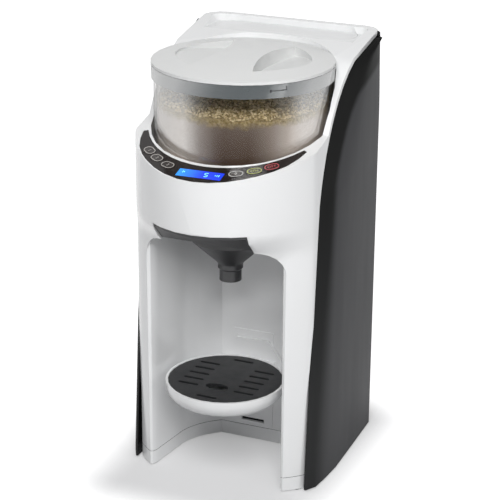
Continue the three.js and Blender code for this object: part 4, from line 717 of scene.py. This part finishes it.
# %% [markdown]
# ## Every other solid
#
# Almost all other nodes keep their CAD form. Those that show get a smooth copy, and those that
# stay inside only take their slot's finish on the node itself. The funnel has a cell of its own.

# %% Remaining nodes
SHOWN = [
    "control_panel", "display_window", "hopper", "hopper_lid", "lid_ring", "lid_seal",
    "funnel_cover", "drip_tray", "tray_grate", "tank", "tank_lid", "tank_filter",
    "dosing_wheel", "dosing_scraper", "stirrer", "drive_gear", "funnel_rail_left",
    "funnel_rail_right", "power_inlet", "powder_chute", "water_nozzle",
] + [name for name in frame["nodes"] if name.startswith(("key_", "foot_", "base_screw_"))]

for node in SHOWN:
    dress(node)
ELSEWHERE = [
    "front_housing", "base_tray", "rear_cover", "tank_dock", "side_panel_left",
    "side_panel_right", "funnel",
]
inside = [node for node in frame["nodes"] if node not in SHOWN + ELSEWHERE]
for node in inside:
    for holder in frame["nodes"][node].material_slots:
        holder.material = FINISH[SLOT_OF[node]]
print(len(SHOWN), "more dressed,", len(inside), "inner nodes painted:", ", ".join(inside))

# %% [markdown]
# ## Turned forms
#
# The funnel and the powder are turned about an upright axis. A Screw modifier could do that,
# but rings of corners made in code can be lifted here and there, which the powder's lumpy top
# needs. One helper sets a ring, one skins the rings, and one makes the mesh.

# %% Helpers for turned forms
def ring_at(shape, centre, radius, height, turns, lift=None):
    """One level ring of corners, each raised by lift(x, y) where that is given."""
    ring = []
    for k in range(turns):
        turn = 2 * math.pi * k / turns
        x, y = radius * math.cos(turn), radius * math.sin(turn)
        rise = lift(x, y) if lift else 0
        ring.append(shape.verts.new((centre.x + x, centre.y + y, height + rise)))
    return ring


def skin_between(shape, rings):
    """Faces from each ring to the next."""
    for low, high in zip(rings, rings[1:]):
        for k in range(len(low)):
            j = (k + 1) % len(low)
            shape.faces.new((low[k], low[j], high[j], high[k]))


def finished(shape, name, finish, smooth_up_to=None):
    """The mesh of a bmesh, with faces outward, flat or smooth up to an angle."""
    bmesh.ops.recalc_face_normals(shape, faces=shape.faces)
    mesh = bpy.data.meshes.new(name)
    shape.to_mesh(mesh)
    shape.free()
    mesh.materials.append(FINISH[finish])
    if smooth_up_to:
        mesh.shade_smooth()
        mesh.set_sharp_from_angle(angle=smooth_up_to)
    return mesh


print("helpers: ring_at, skin_between, finished")

# %% [markdown]
# ## Funnel
#
# The solid funnel is a straight tub with a shallow cone under it. On the real one the cone
# starts higher and falls at about 45 degrees, and that slope shows under the chin. So the
# funnel is turned anew here from its own section, with the solid's rim and tip, and stands
# for the solid.

# %% Funnel with its steeper cone
FUNNEL_TURNS = 64
FUNNEL_WALL = 1.8 * MM
FUNNEL_BEND = 1.6 * MM
TUB_HEIGHT = 26 * MM
CONE_FOOT = 47 * MM
NECK_FOOT = 54 * MM
NECK_R = 11.2 * MM
SPOUT_R = 9.8 * MM


def funnel_section(rim, top, tip):
    """(radius, height) points round the section: down the outside and up the inside."""
    wall, bend = FUNNEL_WALL, FUNNEL_BEND
    tub, cone, neck = top - TUB_HEIGHT, top - CONE_FOOT, top - NECK_FOOT
    return [
        (rim, top), (rim, tub + bend), (rim - bend, tub), (NECK_R + bend, cone + bend / 2),
        (NECK_R, cone - bend), (NECK_R, neck + bend), (SPOUT_R, neck), (SPOUT_R, tip),
        (SPOUT_R - wall, tip), (SPOUT_R - wall, cone - bend), (NECK_R - wall, cone + wall),
        (rim - wall, tub + 2 * wall), (rim - wall, top),
    ]


def steeper_funnel():
    """Makes the funnel's piece and says how tall it is."""
    low, high = corners("funnel")
    centre = (low + high) / 2
    section = funnel_section((high.x - low.x) / 2, high.z, low.z)
    shape = bmesh.new()
    rings = [ring_at(shape, centre, radius, height, FUNNEL_TURNS) for radius, height in section]
    skin_between(shape, rings + rings[:1])
    mesh = finished(shape, "funnel_skin", SLOT_OF["funnel"], SMOOTH_UP_TO)
    piece_from(mesh, "funnel_skin", rides_on("funnel"), SLOT_OF["funnel"], "funnel")
    return high.z - low.z


print("funnel is", round(steeper_funnel() / MM), "mm tall")

# %% [markdown]
# ## Powder
#
# The hopper is about half full. Against the wall the powder is packed smooth, and its top is
# a crumbly heap. The powder is a turned shape: its profile follows the inside of the
# hopper, and it is hollow where the stirrer sweeps, so nothing touches as the stirrer turns.

# %% The powder's sizes and profile
HOPPER_LOW, HOPPER_HIGH = corners("hopper")
AXIS = Vector(((HOPPER_LOW.x + HOPPER_HIGH.x) / 2, (HOPPER_LOW.y + HOPPER_HIGH.y) / 2, 0))
HOPPER_R = (HOPPER_HIGH.x - HOPPER_LOW.x) / 2
WALL = 2.2 * MM
FILLET = 20 * MM
PLAY = 0.8 * MM
POWDER_R = HOPPER_R - WALL - PLAY
HOLLOW_R = POWDER_R - 7 * MM
HOLLOW_TOP = corners("stirrer")[1].z + 2.2 * MM
POWDER_WALL_TOP = HOPPER_LOW.z + 56.5 * MM
HEAP_RISE = 6 * MM
HEAP_SWELL = 1.5
BEND_STEPS = 8
WALL_STEPS = 6
HEAP_RINGS = 22
WALL_END = BEND_STEPS + WALL_STEPS


def powder_profile():
    """(radius, height) pairs from the hollow's foot, up the outside and over the heap."""
    bend = FILLET - WALL - PLAY
    centre_r, centre_z = HOPPER_R - FILLET, HOPPER_LOW.z + FILLET
    start = math.acos((HOLLOW_R - centre_r) / bend)
    points = []
    for i in range(BEND_STEPS + 1):
        angle = -start * (1 - i / BEND_STEPS)
        points.append((centre_r + bend * math.cos(angle), centre_z + bend * math.sin(angle)))
    for i in range(1, WALL_STEPS + 1):
        points.append((POWDER_R, centre_z + (POWDER_WALL_TOP - centre_z) * i / WALL_STEPS))
    for i in range(1, HEAP_RINGS):
        share = i / HEAP_RINGS
        rise = HEAP_RISE * math.sin(share * math.pi / 2) ** HEAP_SWELL
        points.append((POWDER_R * (1 - share), POWDER_WALL_TOP + rise))
    return points


print("powder wall stands", round((POWDER_WALL_TOP - HOPPER_LOW.z) / MM), "mm up the hopper")

# %% The turned powder
POWDER_TURNS = 128
POWDER_CREASE = math.radians(50)


def ripple_at(x, y):
    """Lumps on the heap's top, in mm: a few waves of different lengths added up."""
    return (
        1.3 * math.sin(x * 190 + 1.7 * math.sin(y * 90))
        + 1.0 * math.sin(y * 230 + 1.1 * math.sin(x * 130))
        + 0.6 * math.sin((x + y) * 410)
    ) * MM


def turned_powder():
    """A closed shape: outside, heap, and the hollow's wall and ceiling."""
    shape = bmesh.new()
    rings = []
    for i, (radius, height) in enumerate(powder_profile()):
        lift = ripple_at if i >= WALL_END else None
        rings.append(ring_at(shape, AXIS, radius, height, POWDER_TURNS, lift))
    foot, last = rings[0], rings[-1]
    ceiling = [shape.verts.new((corner.co.x, corner.co.y, HOLLOW_TOP)) for corner in foot]
    top = shape.verts.new((AXIS.x, AXIS.y, POWDER_WALL_TOP + HEAP_RISE))
    under = shape.verts.new((AXIS.x, AXIS.y, HOLLOW_TOP))
    skin_between(shape, rings)
    for k in range(POWDER_TURNS):
        j = (k + 1) % POWDER_TURNS
        shape.faces.new((last[k], last[j], top))
        shape.faces.new((foot[j], foot[k], ceiling[k], ceiling[j]))
        shape.faces.new((ceiling[j], ceiling[k], under))
    return finished(shape, "powder", "powder", POWDER_CREASE)


print("the profile has", len(powder_profile()), "points")

# %% [markdown]
# ## The powder's finish
#
# Packed powder is pink-beige against the wall. Where it faces the front it carries painted
# shade, dark brown and deepest at the foot. The heap is coarse and yellow-brown. The two meet
# along a wandering line, so a noise is added to the height before the height picks the colour.

# %% One function for dry finishes
DRY_ROUGHNESS = (0.8, 0.95)
DRY_GLEAM = 0.08


def dry_finish(name, colour_of, patches, grain, grain_depth, strength):
    """A dull finish, whose colour is made by colour_of(tree, place)."""
    material, tree, place = blank_material(name)
    inputs = {
        "Base Color": colour_of(tree, place),
        "Roughness": spread(tree, noise(tree, place, patches, 3), *DRY_ROUGHNESS),
        "Normal": bump(tree, noise(tree, place, grain, 3), grain_depth, strength),
        "Specular IOR Level": DRY_GLEAM,
    }
    set_surface(tree, principled(tree, inputs))
    FINISH[name] = material


print("dry roughness lies within", DRY_ROUGHNESS)

# %% The powder in its finish
PACKED_PALE = (0.66, 0.585, 0.53), (0.58, 0.505, 0.45)
# Painted shade: a dark brown laid on the packed powder where it faces the front, deepest at the
# foot.
PAINTED_FRONT_SHADE = (0.065, 0.036, 0.022)
COARSE = (0.21, 0.15, 0.06), (0.5, 0.4, 0.22)
PAINTED_SHADE_SIDE = (0.326, -0.945, 0.0)
PAINTED_SHADE_EDGES = (0.78, 0.99)
PAINTED_SHADE_FADE = (1.0, 0.8)
PAINTED_SHADE_HEIGHTS = (HOPPER_LOW.z + 10 * MM, POWDER_WALL_TOP)
HEAP_EDGE = (POWDER_WALL_TOP - 2 * MM, POWDER_WALL_TOP + 4 * MM)
HEAP_WANDER = 12 * MM


def painted_shade_share(tree, place):
    """Share of painted shade: 1 where the powder faces the front, 0 round the sides, weaker near
    the heap.
    """
    from_axis = math_node(tree, "VectorMath", "SUBTRACT", place, AXIS)[0]
    level = math_node(tree, "VectorMath", "MULTIPLY", from_axis, (1, 1, 0))[0]
    outward = math_node(tree, "VectorMath", "NORMALIZE", level)[0]
    toward = math_node(tree, "VectorMath", "DOT_PRODUCT", outward, PAINTED_SHADE_SIDE)["Value"]
    middle = spread(tree, toward, 0.0, 1.0, *PAINTED_SHADE_EDGES)
    fade = spread(tree, along(tree, place, "Z"), *PAINTED_SHADE_FADE, *PAINTED_SHADE_HEIGHTS)
    return math_node(tree, "Math", "MULTIPLY", middle, fade)[0]


def powder_colour(tree, place):
    """Pink-beige where packed, with painted shade at the front, yellow-brown and coarse on the
    heap.
    """
    wander = noise(tree, place, 160, 4)
    height = along(tree, place, "Z")
    blurred = math_node(tree, "Math", "MULTIPLY_ADD", wander, HEAP_WANDER, height)[0]
    crumbly = spread(tree, blurred, 0.0, 1.0, *HEAP_EDGE)
    pale = blend_colours(tree, spread(tree, noise(tree, place, 30, 4), 0, 1), *PACKED_PALE)
    # Painted shade darkens the packed colour where the powder faces the front.
    packed = blend_colours(tree, painted_shade_share(tree, place), pale, PAINTED_FRONT_SHADE)
    coarse = blend_colours(tree, spread(tree, noise(tree, place, 420, 3), 0, 1), *COARSE)
    return blend_colours(tree, crumbly, packed, coarse)


dry_finish("powder", powder_colour, 200, 500, 0.1 * MM, 0.4)
powder_mesh = turned_powder()
piece_from(powder_mesh, "powder", "hopper_body", "clear_plastic")
print("the powder has", len(powder_mesh.polygons), "faces")

# %% [markdown]
# ## Crumbs
#
# The heap's top is loose crumbs. They are scattered with Geometry Nodes: points on the top
# faces, a small ball on each point, turned and stretched at random with a fixed seed. The
# tree ends in Realize Instances and Set Material, and the result is turned to a plain mesh.

# %% The tree that scatters crumbs
PLACE_SEED = 7
TURN_SEED = 11
SIZE_SEED = 13
MOST_TURN = (6.28, 6.28, 6.28)
LEAST_SIZE = (0.45, 0.45, 0.4)
MOST_SIZE = (1.5, 1.3, 1.1)
CRUMB_ROUNDNESS = 2
CRUMB_INPUTS = {
    "Geometry": "Geometry", "Crumb radius": "Float", "Density": "Float", "Finish": "Material"
}


def random_vector(tree, low, high, seed):
    """A vector between two ends, different on each point."""
    inputs = {0: low, 1: high, "Seed": seed}
    return node_of(tree, "FunctionNodeRandomValue", inputs, data_type="FLOAT_VECTOR")[0]


def crumb_tree():
    """Balls on random points of a mesh, each turned and stretched, in one finish."""
    tree = bpy.data.node_groups.new("scatter_crumbs", "GeometryNodeTree")
    for name, kind in CRUMB_INPUTS.items():
        tree.interface.new_socket(name, in_out="INPUT", socket_type="NodeSocket" + kind)
    tree.interface.new_socket("Geometry", in_out="OUTPUT", socket_type="NodeSocketGeometry")
    given = node_of(tree, "NodeGroupInput")
    inputs = {"Mesh": given["Geometry"], "Density": given["Density"], "Seed": PLACE_SEED}
    points = node_of(tree, "GeometryNodeDistributePointsOnFaces", inputs)["Points"]
    inputs = {"Subdivisions": CRUMB_ROUNDNESS, "Radius": given["Crumb radius"]}
    ball = node_of(tree, "GeometryNodeMeshIcoSphere", inputs)["Mesh"]
    turn = random_vector(tree, (0, 0, 0), MOST_TURN, TURN_SEED)
    size = random_vector(tree, LEAST_SIZE, MOST_SIZE, SIZE_SEED)
    inputs = {"Points": points, "Instance": ball, "Rotation": turn, "Scale": size}
    placed = node_of(tree, "GeometryNodeInstanceOnPoints", inputs)[0]
    real = node_of(tree, "GeometryNodeRealizeInstances", {0: placed})[0]
    inputs = {"Geometry": real, "Material": given["Finish"]}
    node_of(tree, "NodeGroupOutput", {0: node_of(tree, "GeometryNodeSetMaterial", inputs)[0]})
    return tree


print("seeds of places, turns and sizes:", PLACE_SEED, TURN_SEED, SIZE_SEED)

# %% From a node tree to a plain mesh
def bake_nodes(mesh, tree, values, name):
    """Runs a node tree on a mesh and gives the result as a plain mesh."""
    holder = bpy.data.objects.new(name + "_holder", mesh)
    scene.collection.objects.link(holder)
    modifier = holder.modifiers.new("nodes", "NODES")
    modifier.node_group = tree
    for item in tree.interface.items_tree:
        if item.item_type == "SOCKET" and item.in_out == "INPUT" and item.name in values:
            modifier[item.identifier] = values[item.name]
    bpy.context.view_layer.update()
    seen = holder.evaluated_get(bpy.context.evaluated_depsgraph_get())
    result = bpy.data.meshes.new_from_object(seen)
    result.name = name
    holder.modifiers.remove(modifier)
    bpy.data.objects.remove(holder)
    return result


print("helper: bake_nodes")

# %% Crumbs on the heap
CRUMB_R = 1.25 * MM
CRUMBS_PER_M2 = 120000.0
CRUMB_MARGIN = 2.6 * MM
CRUMB_DROP = 6 * MM
STEEPEST = 0.4
CRUMB_SHADES = (0.5, 0.38, 0.19), (0.86, 0.73, 0.48)


def heap_faces():
    """The top of the heap as a mesh of its own, kept clear of the hopper's wall."""
    shape = bmesh.new()
    shape.from_mesh(powder_mesh)
    limit = POWDER_R - CRUMB_MARGIN
    gone = []
    for face in shape.faces:
        centre = face.calc_center_median() - AXIS
        near_wall = math.hypot(centre.x, centre.y) > limit
        low = centre.z < POWDER_WALL_TOP - CRUMB_DROP
        if face.normal.z < STEEPEST or near_wall or low:
            gone.append(face)
    bmesh.ops.delete(shape, geom=gone, context="FACES")
    mesh = bpy.data.meshes.new("heap_top")
    shape.to_mesh(mesh)
    shape.free()
    return mesh


def crumb_colour(tree, place):
    each = spread(tree, noise(tree, place, 330, 2), 0, 1, 0.35, 0.65)
    return blend_colours(tree, each, *CRUMB_SHADES)


dry_finish("crumb", crumb_colour, 300, 1500, 0.3 * MM, 0.6)
crumb_mesh = bake_nodes(
    heap_faces(),
    crumb_tree(),
    {"Crumb radius": CRUMB_R, "Density": CRUMBS_PER_M2, "Finish": FINISH["crumb"]},
    "powder_crumbs",
)
piece_from(crumb_mesh, "powder_crumbs", "hopper_body", "clear_plastic")
print("crumb mesh has", len(crumb_mesh.polygons), "faces")

# %% [markdown]
# ## Prints on a surface
#
# Rings, signs and digits are thin solids that lie on the piece below them. Each is drawn as a
# flat outline, and every corner is then dropped on the surface by a ray from above, so the
# print follows the slope of the panel. A helper makes a closed prism from an outline.

# %% Heights under a print
RAY_FROM = 0.5
SLOPE_REACH = 1.5 * MM


def surface_under(node):
    """A function that gives the height of a node's top at (x, y)."""
    source = frame["nodes"][node].data
    places = [vertex.co for vertex in source.vertices]
    tree = BVHTree.FromPolygons(places, [tuple(face.vertices) for face in source.polygons])

    def height(x, y):
        hit = tree.ray_cast(Vector((x, y, RAY_FROM)), Vector((0, 0, -1)))
        return hit[0].z if hit[0] else None

    return height


def plane_under(node, x, y):
    """Height at (x, y) and slope along y of a flat top, from three rays."""
    height = surface_under(node)
    near, far = height(x, y - SLOPE_REACH), height(x, y + SLOPE_REACH)
    found = near is not None and far is not None
    slope = (far - near) / (2 * SLOPE_REACH) if found else 0.0
    return height(x, y), slope


print("slopes are taken over", round(2 * SLOPE_REACH / MM, 1), "mm")

# %% A closed prism from an outline
PRINT_DEPTH = 0.06 * MM
PRINT_LIFT = 0.07 * MM


def prism(shape, outer, inner=None):
    """Adds a closed prism between outlines of (low, high) point pairs to a bmesh."""
    def ring(points):
        return [(shape.verts.new(low), shape.verts.new(high)) for low, high in points]

    out_ring = ring(outer)
    count = len(out_ring)
    if inner is None:
        shape.faces.new([v[1] for v in out_ring])
        shape.faces.new([v[0] for v in reversed(out_ring)])
        for k in range(count):
            a, b = out_ring[k], out_ring[(k + 1) % count]
            shape.faces.new((a[0], b[0], b[1], a[1]))
        return
    in_ring = ring(inner)
    for k in range(count):
        j = (k + 1) % count
        a, b, c, d = out_ring[k], out_ring[j], in_ring[j], in_ring[k]
        shape.faces.new((a[1], b[1], c[1], d[1]))
        shape.faces.new((d[0], c[0], b[0], a[0]))
        shape.faces.new((a[0], b[0], b[1], a[1]))
        shape.faces.new((c[0], d[0], d[1], c[1]))


print("prints stand", round(PRINT_LIFT / MM, 2), "mm proud")

# %% [markdown]
# ## Key prints
#
# Each key carries a thin oval ring with a short sign in it. The left three set amounts, so
# they show numbers. The right three show a nought, ON and OFF. The signs are text turned to
# mesh, since a font gives cleaner strokes than drawing each one.

# %% A key's place and its ring's outline
CAPSULE_STEPS = 16


def key_place(node):
    """Centre of a key, the turn of its long side, and its top plane."""
    low, high = corners(node)
    x, y = (low.x + high.x) / 2, (low.y + high.y) / 2
    turn = math.atan2(x - AXIS.x, AXIS.y - y)
    height, slope = plane_under(node, x, y)
    return x, y, turn, height, slope


def on_key(place, u, v, lift):
    """A point drawn at (u, v) on the key's face, in the row frame."""
    x, y, turn, height, slope = place
    px = x + u * math.cos(turn) - v * math.sin(turn)
    py = y + u * math.sin(turn) + v * math.cos(turn)
    return Vector((px, py, height + slope * (py - y) + lift))


def capsule_on_key(place, length, width):
    """(low, high) pairs of points round an oval with straight sides."""
    radius = width / 2
    straight = max(0.0, (length - width) / 2)
    pairs = []
    for k in range(2 * CAPSULE_STEPS):
        turn = -math.pi / 2 + math.pi * k / CAPSULE_STEPS
        side = straight if k < CAPSULE_STEPS else -straight
        u, v = side + radius * math.cos(turn), radius * math.sin(turn)
        low, high = PRINT_LIFT - PRINT_DEPTH, PRINT_LIFT
        pairs.append((on_key(place, u, v, low), on_key(place, u, v, high)))
    return pairs


print("a key's ring has", 2 * CAPSULE_STEPS, "corners")

# %% A sign as a flat mesh
SIGN_HEIGHT = 4.4 * MM
STROKE_STEPS = 3


def sign_mesh(text):
    """Flat text, centred on the origin, as triangles."""
    curve = bpy.data.curves.new("sign", "FONT")
    curve.body = text
    curve.align_x = "CENTER"
    curve.align_y = "CENTER"
    curve.size = SIGN_HEIGHT
    curve.extrude = PRINT_DEPTH / 2
    curve.resolution_u = STROKE_STEPS
    holder = bpy.data.objects.new("sign", curve)
    scene.collection.objects.link(holder)
    bpy.context.view_layer.update()
    seen = holder.evaluated_get(bpy.context.evaluated_depsgraph_get())
    mesh = bpy.data.meshes.new_from_object(seen)
    bpy.data.objects.remove(holder)
    return mesh


print("signs are set", round(SIGN_HEIGHT / MM, 1), "mm high")

# %% Key rings and signs
KEY_SIGNS = {
    "key_1": ("1", "ink_grey"), "key_2": ("2", "ink_grey"), "key_3": ("3", "ink_grey"),
    "key_4": ("0", "ink_pale"), "key_5": ("ON", "ink_green"), "key_6": ("OFF", "ink_red"),
}
RING_LENGTH = 12.4 * MM
RING_WIDTH = 8.4 * MM
RING_LINE = 0.75 * MM
SIGN_MERGE = 0.001 * MM


def key_print(node, text, finish):
    """The ring and the sign on one key, each a piece that rides with the key."""
    place = key_place(node)
    shape = bmesh.new()
    outer = capsule_on_key(place, RING_LENGTH, RING_WIDTH)
    inner = capsule_on_key(place, RING_LENGTH - 2 * RING_LINE, RING_WIDTH - 2 * RING_LINE)
    prism(shape, outer, inner)
    ring = finished(shape, node + "_ring", finish)
    piece_from(ring, node + "_ring", rides_on(node), "key_print")
    sign = sign_mesh(text)
    middle = PRINT_LIFT - PRINT_DEPTH / 2
    for vertex in sign.vertices:
        vertex.co = on_key(place, vertex.co.x, vertex.co.y, middle + vertex.co.z)
    merged = bmesh.new()
    merged.from_mesh(sign)
    bmesh.ops.remove_doubles(merged, verts=merged.verts, dist=SIGN_MERGE)
    sign = finished(merged, node + "_sign", finish)
    piece_from(sign, node + "_sign", rides_on(node), "key_print")


for node, (text, finish) in KEY_SIGNS.items():
    key_print(node, text, finish)
print(len(KEY_SIGNS), "keys printed")

# %% [markdown]
# ## Display digits
#
# A small display shows one digit from seven bars and a few marks. Each bar is a thin prism on
# the window's sloping top. A five lights the three level bars and two of the upright ones.

# %% Display segments, with the marks as (across, up, length) in mm from the digit
DIGIT_AT = (7.6 * MM, -101.4 * MM)
DIGIT_WIDTH = 3.0 * MM
DIGIT_HEIGHT = 5.2 * MM
BAR = 0.55 * MM
BAR_GAP = 1.2
BAR_SINK = 0.01 * MM
MARKS = [(8.0, 0.8, 1.2), (9.6, 0.8, 2.0), (11.2, 0.8, 2.8), (-21.3, 0.6, 2.6), (-20.1, 0.6, 1.6)]


def bar(shape, height, x, y, length, upright):
    """Adds one bar, with every corner on the window's top."""
    half_u = (BAR if upright else length) / 2
    half_v = (length if upright else BAR) / 2
    pairs = []
    for u, v in ((-half_u, -half_v), (half_u, -half_v), (half_u, half_v), (-half_u, half_v)):
        z = height(x + u, y + v)
        low, high = z - BAR_SINK, z + PRINT_LIFT
        pairs.append((Vector((x + u, y + v, low)), Vector((x + u, y + v, high))))
    prism(shape, pairs)


def display_marks():
    height = surface_under("display_window")
    shape = bmesh.new()
    x, y = DIGIT_AT
    side, half = DIGIT_WIDTH / 2, DIGIT_HEIGHT / 2
    for rise in (-half, 0, half):
        bar(shape, height, x, y + rise, DIGIT_WIDTH - BAR_GAP * BAR, False)
    bar(shape, height, x - side, y + half / 2, half - BAR_GAP * BAR, True)
    bar(shape, height, x + side, y - half / 2, half - BAR_GAP * BAR, True)
    for across, up, length in MARKS:
        bar(shape, height, x + across * MM, y + up * MM, length * MM, True)
    mesh = finished(shape, "display_marks", "segment_cyan")
    piece_from(mesh, "display_marks", rides_on("display_window"), "screen")


display_marks()
print("one digit and", len(MARKS), "marks laid at", DIGIT_AT)

# %% [markdown]
# ## Turn mark on the lid ring
#
# A small mark on the ring shows which way the lid locks. It is a thin bar with a head, bent
# round the ring's outside, so its points are given as a length round it and a height. The
# ring has flat sides, and the mark lies on them, so the bar is cut in short steps.

# %% Turn mark, whose rectangles are two corners each, in mm round the ring and up
RING_LOW, RING_HIGH = corners("lid_ring")
RING_R = (RING_HIGH.x - RING_LOW.x) / 2
RING_SIDES = 32
MARK_ANGLE = math.radians(45.4)
MARK_HEIGHT = RING_LOW.z + 6.0 * MM
MARK_SINK = 0.02 * MM
MARK_LIFT = 0.06 * MM
MARK_BAR = [((-8 + 2 * k, 0), (-6 + 2 * k, 0.8)) for k in range(7)]
MARK_ENDS = [((-8.6, -0.9), (-7.0, 1.6)), ((6.2, 0), (7.0, 3.4))]


def on_ring(round_it, up, lift):
    """A point at a length round the ring and a height, lifted off its flat sides."""
    turn = MARK_ANGLE + round_it / RING_R
    side = 2 * math.pi / RING_SIDES
    radius = RING_R * math.cos(side / 2) / math.cos(turn % side - side / 2) + lift
    x, y = radius * math.sin(turn), -radius * math.cos(turn)
    return Vector((AXIS.x + x, AXIS.y + y, MARK_HEIGHT + up))


def turn_mark():
    shape = bmesh.new()
    for (left, low), (right, high) in MARK_BAR + MARK_ENDS:
        pairs = [
            (on_ring(u * MM, v * MM, -MARK_SINK), on_ring(u * MM, v * MM, MARK_LIFT))
            for u, v in ((left, low), (right, low), (right, high), (left, high))
        ]
        prism(shape, pairs)
    mesh = finished(shape, "turn_mark", "ink_dark")
    piece_from(mesh, "turn_mark", rides_on("lid_ring"), "ring_plastic")


turn_mark()
print("turn mark at", round(math.degrees(MARK_ANGLE)), "degrees round the ring")
